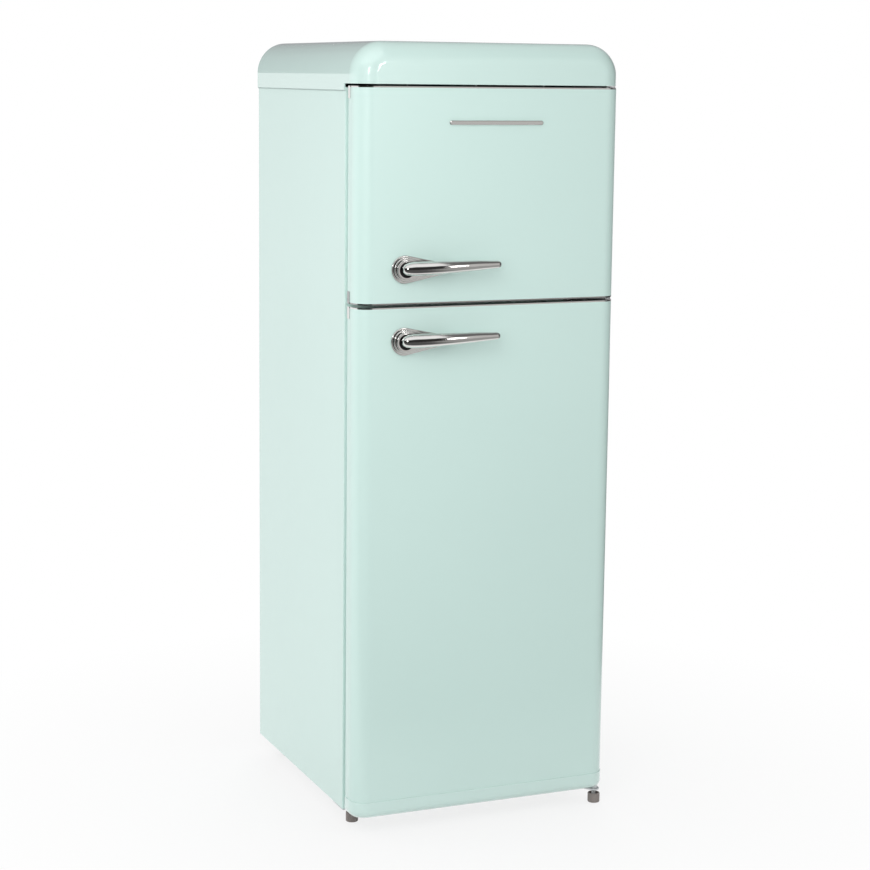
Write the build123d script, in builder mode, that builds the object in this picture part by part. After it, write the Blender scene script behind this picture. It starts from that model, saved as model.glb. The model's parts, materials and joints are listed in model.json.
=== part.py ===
from build123d import *
import os

os.makedirs("parts", exist_ok=True)

# A free-standing two-door refrigerator with the freezer on top, in millimetres. +X is the
# viewer's right, the doors face -Y, +Z is up and the floor is z = 0.

# Cabinet
CABINET_WIDTH = 533.0
CABINET_DEPTH = 503.5
CABINET_HEIGHT = 1372.0
FLOOR_GAP = 36.0
SHEET = 1.0
PAN_SHEET = 1.2
FACE_FLANGE = 28.0
LINER = 2.0

# Top cover
COVER_HEIGHT = 77.0
COVER_OVERHANG = 2.5
COVER_SKIRT = 12.0
COVER_SIDE_RADIUS = 60.0
COVER_FRONT_RADIUS = 40.0
COVER_ROOF = 3.0
COVER_LIFT = 7.0
COVER_RIB = 3.0
COVER_RIB_SPACING = 140.0

# Doors
DOOR_THICKNESS = 50.0
DOOR_CORNER_RADIUS = 31.0
SEAL_GAP = 16.0
SPLIT_HEIGHT = 1012.0
DOOR_GAP = 5.6
COVER_GAP = 4.0
FRIDGE_DOOR_LIFT = 33.0
TRIM_RIM = 2.4
TRIM_PLUG = 16.0
TRIM_TAB = (11.0, 20.0)
TRIM_TAB_SHEET = 0.8
BOTTOM_CAP_HEIGHT = 33.0
BOTTOM_CAP_PROUD = 1.2
BOTTOM_CAP_ROUND = 14.0
DOOR_RETURN = 12.0
DYKE_HEIGHT = 30.0
DYKE_WIDTH = 12.0
DYKE_SIDE_GAP = 14.0
DYKE_END_GAP = 10.0
DYKE_CORNER = 20.0
GASKET_SIDE_INSET = 16.0
GASKET_END_INSET = 6.5
GASKET_WIDTH = 18.0
GASKET_BASE = 4.0
GASKET_BULB_INSET = 3.0
SEAL_CLEARANCE = 0.3
RING_INNER_CORNER = 0.6

# Compartments
FRIDGE_WALL = 45.0
FREEZER_WALL = 55.0
FLOOR_WALL = 55.0
DIVIDER = 50.0
FREEZER_ROOF_WALL = 54.0
FRIDGE_BACK_WALL = 55.0
FREEZER_BACK_WALL = 70.0
BAY_HEIGHT = 205.0
BAY_DEPTH = 175.0
BAY_WALL = 52.0
RAIL_RETURN = 12.0
CAVITY_ROUND = 14.0
CAVITY_SIDE_ROUND = 12.0
WRAPPER_BEND = 2.0

# Shelves and drawer
SHELF_FRONT = 98.0
SHELF_SIDE_GAP = 1.5
SHELF_BACK_GAP = 8.0
GLASS = 4.0
SHELF_TRIM = 14.0
SHELF_TRIM_WALL = 2.0
LEDGE_DEPTH = 9.0
LEDGE_HEIGHT = 8.0
CRISPER_LID_LIFT = 7.0
LOWER_SHELF_SHARE = 0.49
UPPER_SHELF_SHARE = 0.738
FREEZER_SHELF_SHARE = 0.489
CRISPER_SIDE_GAP = 14.0
CRISPER_WALL = 3.0
CRISPER_TOP_GAP = 5.0
CRISPER_BACK_GAP = 16.0
CRISPER_CORNER = 18.0
CRISPER_GRIP = (150.0, 26.0)
CRISPER_GRIP_ROUND = 23.4
RUN_CLEARANCE = 0.3
SHELF_ROD = 5.0
SHELF_BAR = 3.5
SHELF_BAR_COUNT = 17

# Door bins: each place is the bin's floor, then its height, as shares of the height inside the dyke.
BIN_WALL = 2.5
BIN_CORNER = 16.0
BIN_END_GAP = 0.5
FRIDGE_BIN_DEPTH = 98.0
FREEZER_BIN_DEPTH = 68.0
BIN_BASE_ROUND = 6.0
DAIRY_BIN = (0.821, 0.096)
MIDDLE_BIN = (0.560, 0.103)
BOTTLE_BIN = (0.255, 0.131)
FREEZER_UPPER_BIN = (0.582, 0.264)
FREEZER_LOWER_BIN = (0.033, 0.264)

# Hinges
HINGE_SIDE_INSET = 14.0
HINGE_FRONT_INSET = 20.0
HINGE_PIN = 4.0
HINGE_PIN_REACH = 12.0
HINGE_PLATE = 2.4
HINGE_NOSE = 9.0
RUNNING_FIT = 0.06
BRACKET_PLATE = 3.0
BRACKET_DROP = 4.0
BRACKET_WIDTH = 62.0
BRACKET_LENGTH = 80.0
HOLLOW_PIN = 7.0
SCREW_HEAD = (4.6, 2.4)
SCREW_SHANK = 2.2
MIDDLE_SCREW_OFFSETS = (28.0, 58.0)
BRACKET_SCREW_SHARES = ((0.25, 0.75), (0.3, 0.8))
FOOT_SCREW_SHARE = 0.35

# Feet and rollers
FOOT_RADIUS = 12.0
FOOT_HEIGHT = 19.0
FOOT_CUP = (9.0, 9.0)
FOOT_STUD = 4.5
FOOT_STUD_TOP = 44.0
FOOT_POCKET = (8.0, 26.0)
LEFT_FOOT_INSET = 29.5
LEFT_FOOT_SETBACK = 25.0
FOOT_BRACKET = (56.0, 60.0)
FOOT_NUT = (8.0, 4.0)
ROLLER_RADIUS = 16.0
ROLLER_WIDTH = 16.0
ROLLER_INSET = 42.0
ROLLER_SETBACK = 45.0
AXLE = 3.0
ROLLER_EAR = 1.5
ROLLER_EAR_REACH = 12.8
ROLLER_SIDE_GAP = 0.6

# Handles and badge
HANDLE_REACH = 46.0
HANDLE_X = -175.0
FREEZER_HANDLE_RISE = 67.0
FRIDGE_HANDLE_DROP = 66.0
HANDLE_BASE_RADIUS = 26.0
HANDLE_STEP = (3.6, 5.0)
HANDLE_STEPS = 3
HANDLE_TAPER = (88.0, 8.0)
HANDLE_RECESS = (14.6, 9.0)
HANDLE_HUB = 9.0
HANDLE_EDGE = 1.4
LEVER_LENGTH = 178.0
BADGE_SIZE = (190.0, 8.0, 3.0)
BADGE_X = 7.0
BADGE_DROP = 65.0

# Refrigerating circuit
CONDENSER_GAP = 20.0
CONDENSER_TUBE = 2.6
CONDENSER_WIRE = 0.9
CONDENSER_WIDTH = 430.0
CONDENSER_RUNS = 13
CONDENSER_PITCH = 76.0
CONDENSER_LIFT = 78.0
CONDENSER_BEND = 30.0
CONDENSER_TAIL = 10.4
CONDENSER_WIRES = 36
RISER_GAP = 16.0
BRAZE_GAP = 0.15
CLIP = (22.0, 16.0)
EVAPORATOR = 3.0
EVAPORATOR_MARGIN = 34.0
COMPRESSOR_X = 55.0
COMPRESSOR_RADII = (88.0, 66.0)
COMPRESSOR_HEIGHT = 132.0
COMPRESSOR_DOME = 34.0
COMPRESSOR_SEAM = (3.0, 5.0)
COMPRESSOR_FOOT = (26.0, 2.5)
GROMMET = (11.0, 12.0)
GROMMET_SPACING = (160.0, 104.0)
TRAY_SHEET = 1.5
TRAY_LIP = 14.0
RELAY = (46.0, 56.0, 62.0)
RELAY_LIFT = 46.2
DRIP_TRAY = (184.0, 128.0, 26.0)
DRIP_TRAY_WALL = 2.0
PIPE = 3.0
PIPE_BEND = 14.0
LIQUID_BEND = 12.6
DISCHARGE_LIFT = 92.4
CAPILLARY = 1.2
DRIER = (9.0, 86.0)
GLAND = (9.0, 4.5, 3.0)
GLAND_TAB = 14.4

# Lamp, thermostat and door switch
THERMOSTAT_BOX = (190.0, 96.0, 46.0)
THERMOSTAT_SETBACK = 112.0
THERMOSTAT_ROUND = 8.0
KNOB_RADIUS = 17.0
KNOB_DEPTH = 15.0
KNOB_X = -48.0
KNOB_SHAFT = (4.0, 12.0)
KNOB_GRIP = (5.0, 10.0)
LENS = (76.0, 28.0, 9.0)
LENS_X = 46.0
SWITCH_X = 150.0
SWITCH_BODY = (30.0, 44.0, 30.0)
SWITCH_SETBACK = 34.0
PLUNGER = 5.0

# Planes and levels that follow
HALF_WIDTH = CABINET_WIDTH / 2
BASE_Z = FLOOR_GAP
TOP_Z = BASE_Z + CABINET_HEIGHT
CONDENSER_REACH = CONDENSER_GAP + 2 * CONDENSER_TUBE + BRAZE_GAP + 2 * CONDENSER_WIRE
OVERALL_DEPTH = HANDLE_REACH + DOOR_THICKNESS + SEAL_GAP + CABINET_DEPTH + CONDENSER_REACH
DOOR_Y = HANDLE_REACH - OVERALL_DEPTH / 2
DOOR_BACK_Y = DOOR_Y + DOOR_THICKNESS
FACE_Y = DOOR_BACK_Y + SEAL_GAP
BACK_Y = FACE_Y + CABINET_DEPTH
BAY_Y = BACK_Y - BAY_DEPTH
BAY_TOP_Z = BASE_Z + BAY_HEIGHT
COVER_EDGE_Z = TOP_Z + COVER_LIFT
COVER_TOP_Z = COVER_EDGE_Z + COVER_HEIGHT
FREEZER_DOOR_TOP = COVER_EDGE_Z - COVER_GAP
FREEZER_DOOR_BOTTOM = SPLIT_HEIGHT + DOOR_GAP / 2
FRIDGE_DOOR_TOP = SPLIT_HEIGHT - DOOR_GAP / 2
FRIDGE_DOOR_BOTTOM = FRIDGE_DOOR_LIFT
HINGE_X = HALF_WIDTH - HINGE_SIDE_INSET
HINGE_Y = DOOR_Y + HINGE_FRONT_INSET
FRIDGE_HALF = HALF_WIDTH - FRIDGE_WALL
FRIDGE_FLOOR_Z = BASE_Z + FLOOR_WALL
FRIDGE_CEILING_Z = SPLIT_HEIGHT - DIVIDER / 2
FRIDGE_BACK_Y = BACK_Y - FRIDGE_BACK_WALL
HUMP_Y = BAY_Y - BAY_WALL
HUMP_Z = BAY_TOP_Z + BAY_WALL
FREEZER_HALF = HALF_WIDTH - FREEZER_WALL
FREEZER_FLOOR_Z = SPLIT_HEIGHT + DIVIDER / 2
FREEZER_CEILING_Z = TOP_Z - FREEZER_ROOF_WALL
FREEZER_BACK_Y = BACK_Y - FREEZER_BACK_WALL
FRIDGE_INSIDE = FRIDGE_CEILING_Z - FRIDGE_FLOOR_Z
FREEZER_INSIDE = FREEZER_CEILING_Z - FREEZER_FLOOR_Z
CRISPER_LID_Z = HUMP_Z + CRISPER_LID_LIFT
LOWER_SHELF_Z = FRIDGE_FLOOR_Z + FRIDGE_INSIDE * LOWER_SHELF_SHARE
UPPER_SHELF_Z = FRIDGE_FLOOR_Z + FRIDGE_INSIDE * UPPER_SHELF_SHARE
FREEZER_SHELF_Z = FREEZER_FLOOR_Z + FREEZER_INSIDE * FREEZER_SHELF_SHARE
LIP_HALF = HALF_WIDTH - FACE_FLANGE
RAIL_BOTTOM_Z = FRIDGE_CEILING_Z + LINER
RAIL_TOP_Z = FREEZER_FLOOR_Z - LINER
SHELF_Y = FACE_Y + SHELF_FRONT
TRAY_TOP_Z = BASE_Z + TRAY_SHEET
UNDER_DOOR_Z = FRIDGE_DOOR_BOTTOM - BRACKET_DROP
LEFT_FOOT = (-HALF_WIDTH + LEFT_FOOT_INSET, FACE_Y + LEFT_FOOT_SETBACK)
THROUGH = 1.0


def block(xs, ys, zs, mode=Mode.ADD):
    """A box between two limits on each axis, in the piece being built."""
    with Locations(((xs[0] + xs[1]) / 2, (ys[0] + ys[1]) / 2, (zs[0] + zs[1]) / 2)):
        Box(xs[1] - xs[0], ys[1] - ys[0], zs[1] - zs[0], mode=mode)


def post(x, y, zs, radius, mode=Mode.ADD):
    """An upright cylinder between two heights, in the piece being built."""
    with Locations((x, y, zs[0])):
        Cylinder(radius, zs[1] - zs[0], align=(Align.CENTER, Align.CENTER, Align.MIN), mode=mode)


def peg(x, z, ys, radius, mode=Mode.ADD):
    """A level cylinder along Y between two depths, in the piece being built."""
    with Locations(Location((x, ys[0], z), (-90, 0, 0))):
        Cylinder(radius, ys[1] - ys[0], align=(Align.CENTER, Align.CENTER, Align.MIN), mode=mode)


def spindle(y, z, xs, radius, mode=Mode.ADD):
    """A level cylinder along X between two sides, in the piece being built."""
    with Locations(Location((xs[0], y, z), (0, 90, 0))):
        Cylinder(radius, xs[1] - xs[0], align=(Align.CENTER, Align.CENTER, Align.MIN), mode=mode)


def upright_ring(half, zs, width, corner, y):
    """A rounded rectangular ring standing in the XZ plane at depth y."""
    height = zs[1] - zs[0]
    with BuildSketch(Plane.XZ.offset(-y)) as ring:
        with Locations((0, (zs[0] + zs[1]) / 2)):
            RectangleRounded(2 * half, height, corner)
            RectangleRounded(
                2 * (half - width), height - 2 * width, corner - width * RING_INNER_CORNER, mode=Mode.SUBTRACT
            )
    return ring.sketch


def keep(piece, name):
    """Labels a finished piece and writes it."""
    piece.part.label = name
    export_step(piece.part, f"parts/{name}.step")


# Outer wrapper: one sheet bent over the sides and top, with a face flange turned inwards.
with BuildPart() as cabinet_wrapper:
    block((-HALF_WIDTH, HALF_WIDTH), (FACE_Y, BACK_Y), (BASE_Z, TOP_Z))
    block(
        (-HALF_WIDTH + SHEET, HALF_WIDTH - SHEET),
        (FACE_Y + SHEET, BACK_Y + THROUGH),
        (BASE_Z - THROUGH, TOP_Z - SHEET),
        Mode.SUBTRACT,
    )
    block(
        (-LIP_HALF, LIP_HALF),
        (FACE_Y - THROUGH, FACE_Y + SHEET + THROUGH),
        (BASE_Z - THROUGH, TOP_Z - FACE_FLANGE),
        Mode.SUBTRACT,
    )
    face_edges = cabinet_wrapper.edges().filter_by(Axis.Z).group_by(Axis.Y)[0].sort_by(Axis.X)
    fillet([face_edges[0], face_edges[-1]], WRAPPER_BEND)
    top_hinge_screws = [
        (HINGE_X - 2 * HINGE_NOSE, FACE_Y + 2 * HINGE_NOSE),
        (HINGE_X - 2 * HINGE_NOSE, FACE_Y + 5 * HINGE_NOSE),
    ]
    for x, y in top_hinge_screws:
        post(x, y, (TOP_Z - SHEET, TOP_Z), SCREW_SHANK, Mode.SUBTRACT)

keep(cabinet_wrapper, "cabinet_wrapper")

# Back panel between the wrapper's sides, above the machine bay.
with BuildPart() as back_panel:
    block(
        (-HALF_WIDTH + SHEET, HALF_WIDTH - SHEET),
        (BACK_Y - SHEET, BACK_Y),
        (BAY_TOP_Z, TOP_Z - SHEET),
    )

keep(back_panel, "back_panel")

# Base pan: face upturn, floor, machine-bay front wall and machine-bay ceiling in one bent sheet.
bracket_x = (HALF_WIDTH - BRACKET_PLATE - BRACKET_WIDTH, HALF_WIDTH - BRACKET_PLATE)
bracket_y = (FACE_Y + BRACKET_PLATE, FACE_Y + BRACKET_PLATE + BRACKET_LENGTH)
bracket_screws = [
    (bracket_x[0] + BRACKET_WIDTH * side, bracket_y[0] + BRACKET_LENGTH * along)
    for side in BRACKET_SCREW_SHARES[0]
    for along in BRACKET_SCREW_SHARES[1]
]
foot_bracket_screws = [
    (LEFT_FOOT[0] + FOOT_BRACKET[0] * share, LEFT_FOOT[1] + FOOT_BRACKET[1] * FOOT_SCREW_SHARE)
    for share in (-FOOT_SCREW_SHARE, FOOT_SCREW_SHARE)
]
with BuildPart() as base_pan:
    block((-LIP_HALF, LIP_HALF), (FACE_Y, FACE_Y + PAN_SHEET), (BASE_Z, BASE_Z + FACE_FLANGE))
    inner_x = (-HALF_WIDTH + SHEET, HALF_WIDTH - SHEET)
    block(inner_x, (FACE_Y + SHEET, BAY_Y), (BASE_Z, BASE_Z + PAN_SHEET))
    block(inner_x, (BAY_Y - PAN_SHEET, BAY_Y), (BASE_Z, BAY_TOP_Z))
    block(inner_x, (BAY_Y - PAN_SHEET, BACK_Y), (BAY_TOP_Z - PAN_SHEET, BAY_TOP_Z))
    post(*LEFT_FOOT, (BASE_Z, BASE_Z + PAN_SHEET), FOOT_POCKET[0], Mode.SUBTRACT)
    for x, y in bracket_screws + foot_bracket_screws:
        post(x, y, (BASE_Z, BASE_Z + PAN_SHEET), SCREW_SHANK, Mode.SUBTRACT)

keep(base_pan, "base_pan")

# Middle rail: a channel across the face between the compartments.
middle_screws = [HINGE_X - offset for offset in MIDDLE_SCREW_OFFSETS]
with BuildPart() as middle_rail:
    rail_y = (FACE_Y, FACE_Y + RAIL_RETURN)
    block((-LIP_HALF, LIP_HALF), rail_y, (RAIL_BOTTOM_Z, RAIL_TOP_Z))
    block(
        (-LIP_HALF - THROUGH, LIP_HALF + THROUGH),
        (FACE_Y + SHEET, rail_y[1] + THROUGH),
        (RAIL_BOTTOM_Z + SHEET, RAIL_TOP_Z - SHEET),
        Mode.SUBTRACT,
    )
    for x in middle_screws:
        peg(x, SPLIT_HEIGHT, (FACE_Y, FACE_Y + SHEET), SCREW_SHANK, Mode.SUBTRACT)

keep(middle_rail, "middle_rail")


def fridge_cavity(extra, corner=0):
    """The fridge space in section, stepped over the machine bay, grown by a wall or rounded."""
    with BuildSketch(Plane.YZ) as section:
        with BuildLine():
            Polyline(
                (FACE_Y, FRIDGE_FLOOR_Z - extra),
                (HUMP_Y + extra, FRIDGE_FLOOR_Z - extra),
                (HUMP_Y + extra, HUMP_Z - extra),
                (FRIDGE_BACK_Y + extra, HUMP_Z - extra),
                (FRIDGE_BACK_Y + extra, FRIDGE_CEILING_Z + extra),
                (FACE_Y, FRIDGE_CEILING_Z + extra),
                close=True,
            )
        make_face()
        if corner:
            mouth_points = section.vertices().group_by(Axis.X)[0]
            fillet(section.vertices() - mouth_points, corner)
    return section.sketch


def ledge_pair(half, back_y, top_z):
    """Two ledges moulded into the side walls under a shelf."""
    for side in (-1, 1):
        inner, outer = sorted((side * (half - LEDGE_DEPTH), side * half))
        block((inner, outer), (SHELF_Y, back_y), (top_z - LEDGE_HEIGHT, top_z))


# Liners: thin open boxes with rounded insides and a lip that meets the steel face.
freezer_z = (FREEZER_FLOOR_Z, FREEZER_CEILING_Z)
with BuildPart() as fridge_space:
    extrude(fridge_cavity(0, CAVITY_ROUND), amount=FRIDGE_HALF, both=True)
    for side_face in fridge_space.faces().filter_by(Axis.X):
        round_edges = side_face.edges()
        fillet(round_edges - round_edges.sort_by(Axis.Y)[0:1], CAVITY_SIDE_ROUND)

with BuildPart() as freezer_space:
    block((-FREEZER_HALF, FREEZER_HALF), (FACE_Y, FREEZER_BACK_Y), freezer_z)
    mouth = freezer_space.faces().sort_by(Axis.Y)[0]
    fillet(freezer_space.edges() - mouth.edges(), CAVITY_SIDE_ROUND)

with BuildPart() as fridge_liner:
    extrude(fridge_cavity(LINER), amount=FRIDGE_HALF + LINER, both=True)
    block((-LIP_HALF, LIP_HALF), (FACE_Y, FACE_Y + LINER), (BASE_Z + FACE_FLANGE, RAIL_BOTTOM_Z))
    add(fridge_space.part, mode=Mode.SUBTRACT)
    for shelf_z in (CRISPER_LID_Z, LOWER_SHELF_Z, UPPER_SHELF_Z):
        ledge_pair(FRIDGE_HALF, FRIDGE_BACK_Y, shelf_z)

keep(fridge_liner, "fridge_liner")

with BuildPart() as freezer_liner:
    block(
        (-FREEZER_HALF - LINER, FREEZER_HALF + LINER),
        (FACE_Y, FREEZER_BACK_Y + LINER),
        (freezer_z[0] - LINER, freezer_z[1] + LINER),
    )
    block((-LIP_HALF, LIP_HALF), (FACE_Y, FACE_Y + LINER), (RAIL_TOP_Z, TOP_Z - FACE_FLANGE))
    add(freezer_space.part, mode=Mode.SUBTRACT)
    ledge_pair(FREEZER_HALF, FREEZER_BACK_Y, FREEZER_SHELF_Z)

keep(freezer_liner, "freezer_liner")

# Evaporator: two roll-bonded plates held against the backs of the liners by the foam.
freezer_plate = (
    (-FREEZER_HALF + EVAPORATOR_MARGIN, FREEZER_HALF - EVAPORATOR_MARGIN),
    (FREEZER_BACK_Y + LINER, FREEZER_BACK_Y + LINER + EVAPORATOR),
    (FREEZER_FLOOR_Z + EVAPORATOR_MARGIN, FREEZER_CEILING_Z - EVAPORATOR_MARGIN),
)
fridge_plate = (
    (-FRIDGE_HALF + 2 * EVAPORATOR_MARGIN, FRIDGE_HALF - 2 * EVAPORATOR_MARGIN),
    (FRIDGE_BACK_Y + LINER, FRIDGE_BACK_Y + LINER + EVAPORATOR),
    (LOWER_SHELF_Z + EVAPORATOR_MARGIN, FRIDGE_CEILING_Z - EVAPORATOR_MARGIN),
)
with BuildPart() as evaporator:
    block(*freezer_plate)
    block(*fridge_plate)

keep(evaporator, "evaporator")

# Foam that fills the walls between the wrapper, the base pan and the liners.
with BuildPart() as insulation:
    block(
        (-HALF_WIDTH + SHEET, HALF_WIDTH - SHEET),
        (FACE_Y + LINER, BACK_Y - SHEET),
        (BASE_Z + PAN_SHEET, TOP_Z - SHEET),
    )
    block(
        (-HALF_WIDTH, HALF_WIDTH), (BAY_Y - PAN_SHEET, BACK_Y), (BASE_Z, BAY_TOP_Z), Mode.SUBTRACT
    )
    extrude(fridge_cavity(LINER), amount=FRIDGE_HALF + LINER, both=True, mode=Mode.SUBTRACT)
    block(
        (-FREEZER_HALF - LINER, FREEZER_HALF + LINER),
        (FACE_Y, FREEZER_BACK_Y + LINER),
        (FREEZER_FLOOR_Z - LINER, FREEZER_CEILING_Z + LINER),
        Mode.SUBTRACT,
    )
    block(
        (-LIP_HALF, LIP_HALF),
        (FACE_Y, FACE_Y + RAIL_RETURN),
        (RAIL_BOTTOM_Z, RAIL_TOP_Z),
        Mode.SUBTRACT,
    )
    block(*freezer_plate, Mode.SUBTRACT)
    block(*fridge_plate, Mode.SUBTRACT)
    post(*LEFT_FOOT, (BASE_Z, BASE_Z + FOOT_POCKET[1]), FOOT_POCKET[0], Mode.SUBTRACT)

keep(insulation, "insulation")


def cover_arch(inset, y, bottom_z, roof):
    """The cover's arched section, set in from its outside at depth y."""
    half = HALF_WIDTH + COVER_OVERHANG - inset
    with BuildSketch(Plane.XZ.offset(-y)) as arch:
        with Locations((0, (bottom_z + COVER_TOP_Z - roof) / 2)):
            Rectangle(2 * half, COVER_TOP_Z - roof - bottom_z)
        fillet(arch.vertices().group_by(Axis.Y)[-1], COVER_SIDE_RADIUS - roof)
    return arch.sketch


def front_arch_edges(piece):
    """The edges round the front of an arched block, without the bottom one."""
    edges = piece.faces().sort_by(Axis.Y)[0].edges()
    return edges - edges.sort_by(Axis.Z)[0:1]


# Top cover: a moulded arch with a rounded front, hollow, seated on the wrapper by three ribs.
with BuildPart() as cover_hollow:
    hollow_bottom = TOP_Z - COVER_SKIRT - COVER_LIFT
    hollow_depth = BACK_Y - DOOR_Y - 2 * COVER_OVERHANG
    extrude(
        cover_arch(COVER_OVERHANG, DOOR_Y + COVER_OVERHANG, hollow_bottom, COVER_ROOF),
        amount=hollow_depth,
        dir=(0, 1, 0),
    )
    fillet(front_arch_edges(cover_hollow), COVER_FRONT_RADIUS - COVER_ROOF)

with BuildPart() as top_cover:
    skirt_z = COVER_EDGE_Z - COVER_SKIRT
    extrude(cover_arch(0, DOOR_Y, skirt_z, 0), amount=BACK_Y - DOOR_Y, dir=(0, 1, 0))
    fillet(front_arch_edges(top_cover), COVER_FRONT_RADIUS)
    add(cover_hollow.part, mode=Mode.SUBTRACT)
    for x in (-COVER_RIB_SPACING, 0, COVER_RIB_SPACING):
        block(
            (x - COVER_RIB / 2, x + COVER_RIB / 2),
            (FACE_Y + COVER_SKIRT, BACK_Y - COVER_OVERHANG),
            (TOP_Z, COVER_TOP_Z - COVER_ROOF),
        )
    wide = HALF_WIDTH + COVER_OVERHANG + THROUGH
    block((-wide, wide), (DOOR_Y - THROUGH, FACE_Y), (skirt_z - THROUGH, COVER_EDGE_Z), Mode.SUBTRACT)
    block(
        (-HALF_WIDTH, HALF_WIDTH),
        (FACE_Y - THROUGH, BACK_Y + THROUGH),
        (skirt_z - THROUGH, TOP_Z),
        Mode.SUBTRACT,
    )

keep(top_cover, "top_cover")


def door_plan(z, inset=0.0, back_y=DOOR_BACK_Y):
    """A door's outline in plan at height z, set in from its skin, with rounded front corners."""
    front_y = DOOR_Y + inset
    with BuildSketch(Plane.XY.offset(z)) as plan:
        with Locations((0, (front_y + back_y) / 2)):
            Rectangle(CABINET_WIDTH - 2 * inset, back_y - front_y)
        fillet(plan.vertices().group_by(Axis.Y)[0], DOOR_CORNER_RADIUS - inset)
    return plan.sketch


def door_skin(bottom, top):
    """A door's bent steel skin: front, rounded edges, sides and narrow returns behind."""
    with BuildPart() as skin:
        extrude(door_plan(bottom), amount=top - bottom)
        extrude(
            door_plan(bottom, SHEET, DOOR_BACK_Y - SHEET), amount=top - bottom, mode=Mode.SUBTRACT
        )
        opening = HALF_WIDTH - DOOR_RETURN
        block(
            (-opening, opening),
            (DOOR_BACK_Y - SHEET - THROUGH, DOOR_BACK_Y + THROUGH),
            (bottom, top),
            Mode.SUBTRACT,
        )
    return skin


def trim_plug(z, height):
    """The part of an end trim that fits inside the skin."""
    return extrude(door_plan(z, SHEET, DOOR_BACK_Y - LINER), amount=height, mode=Mode.PRIVATE)


def trim_tabs(zs, mode=Mode.ADD):
    """Small returns of a trim over the door's sides at its back corners."""
    for side in (-1, 1):
        near, far = sorted((side * HALF_WIDTH, side * (HALF_WIDTH + TRIM_TAB_SHEET)))
        block((near, far), (DOOR_BACK_Y - TRIM_TAB[0], DOOR_BACK_Y), zs, mode)


def top_trim(top):
    """A bright end trim on top of a door: rim, plug, corner tabs and the hinge-pin bush."""
    rim_z = top - TRIM_RIM
    with BuildPart() as trim:
        extrude(door_plan(rim_z), amount=TRIM_RIM)
        add(trim_plug(rim_z - TRIM_PLUG, TRIM_PLUG))
        trim_tabs((rim_z - TRIM_TAB[1], top))
        bush_z = (top - DOOR_GAP - HINGE_PIN_REACH, top)
        post(HINGE_X, HINGE_Y, bush_z, HINGE_PIN + RUNNING_FIT, Mode.SUBTRACT)
    return trim


def bottom_trim(bottom):
    """A bright end trim under a door, with the same rim, plug, tabs and bush."""
    rim_z = bottom + TRIM_RIM
    with BuildPart() as trim:
        extrude(door_plan(bottom), amount=TRIM_RIM)
        add(trim_plug(rim_z, TRIM_PLUG))
        trim_tabs((bottom, rim_z + TRIM_TAB[1]))
        bush_z = (bottom, bottom + DOOR_GAP + HINGE_PIN_REACH)
        post(HINGE_X, HINGE_Y, bush_z, HINGE_PIN + RUNNING_FIT, Mode.SUBTRACT)
    return trim


def door_foam(bottom, top):
    """The foam core of a door, between its end plugs."""
    with BuildPart() as foam:
        extrude(door_plan(bottom, SHEET, DOOR_BACK_Y - LINER), amount=top - bottom)
    return foam


def door_liner(bottom, top, dyke_half, dyke_z):
    """A door's inner panel with the raised dyke that the bins hang in."""
    with BuildPart() as liner:
        opening = HALF_WIDTH - DOOR_RETURN
        block((-opening, opening), (DOOR_BACK_Y - LINER, DOOR_BACK_Y), (bottom, top))
        dyke = upright_ring(dyke_half, dyke_z, DYKE_WIDTH, DYKE_CORNER, DOOR_BACK_Y)
        extrude(dyke, amount=DYKE_HEIGHT, dir=(0, 1, 0))
    return liner


def door_gasket(bottom, top):
    """The magnetic seal round a door: a flat base and a narrower bulb that meets the face."""
    half = HALF_WIDTH - GASKET_SIDE_INSET
    ends = (bottom + GASKET_END_INSET, top - GASKET_END_INSET)
    bulb_ends = (ends[0] + GASKET_BULB_INSET, ends[1] - GASKET_BULB_INSET)
    bulb_width = GASKET_WIDTH - 2 * GASKET_BULB_INSET
    bulb_y = DOOR_BACK_Y + GASKET_BASE
    with BuildPart() as gasket:
        base = upright_ring(half, ends, GASKET_WIDTH, GASKET_WIDTH, DOOR_BACK_Y)
        extrude(base, amount=GASKET_BASE, dir=(0, 1, 0))
        bulb = upright_ring(half - GASKET_BULB_INSET, bulb_ends, bulb_width, GASKET_WIDTH, bulb_y)
        extrude(bulb, amount=FACE_Y - SEAL_CLEARANCE - bulb_y, dir=(0, 1, 0))
    return gasket


def bin_plan(half, depth, z, inset):
    """A door bin's outline in plan, rounded at its two inner corners."""
    front_y, back_y = DOOR_BACK_Y + inset, DOOR_BACK_Y + depth - inset
    with BuildSketch(Plane.XY.offset(z)) as plan:
        with Locations((0, (front_y + back_y) / 2)):
            Rectangle(2 * (half - inset), back_y - front_y)
        fillet(plan.vertices().group_by(Axis.Y)[-1], BIN_CORNER - inset)
    return plan.sketch


def door_bin(dyke, depth, place):
    """An open bin that hangs between the sides of a dyke, placed within the height inside it."""
    dyke_half, dyke_z = dyke
    half = dyke_half - DYKE_WIDTH - BIN_END_GAP
    inside = dyke_z[1] - dyke_z[0] - 2 * DYKE_WIDTH
    floor_z = dyke_z[0] + DYKE_WIDTH + inside * place[0]
    height = inside * place[1]
    with BuildPart() as door_tray:
        extrude(bin_plan(half, depth, floor_z, 0), amount=height)
        fillet(door_tray.faces().sort_by(Axis.Z)[0].edges().sort_by(Axis.Y)[-1:], BIN_BASE_ROUND)
        extrude(
            bin_plan(half, depth, floor_z + BIN_WALL, BIN_WALL), amount=height, mode=Mode.SUBTRACT
        )
    return door_tray


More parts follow.
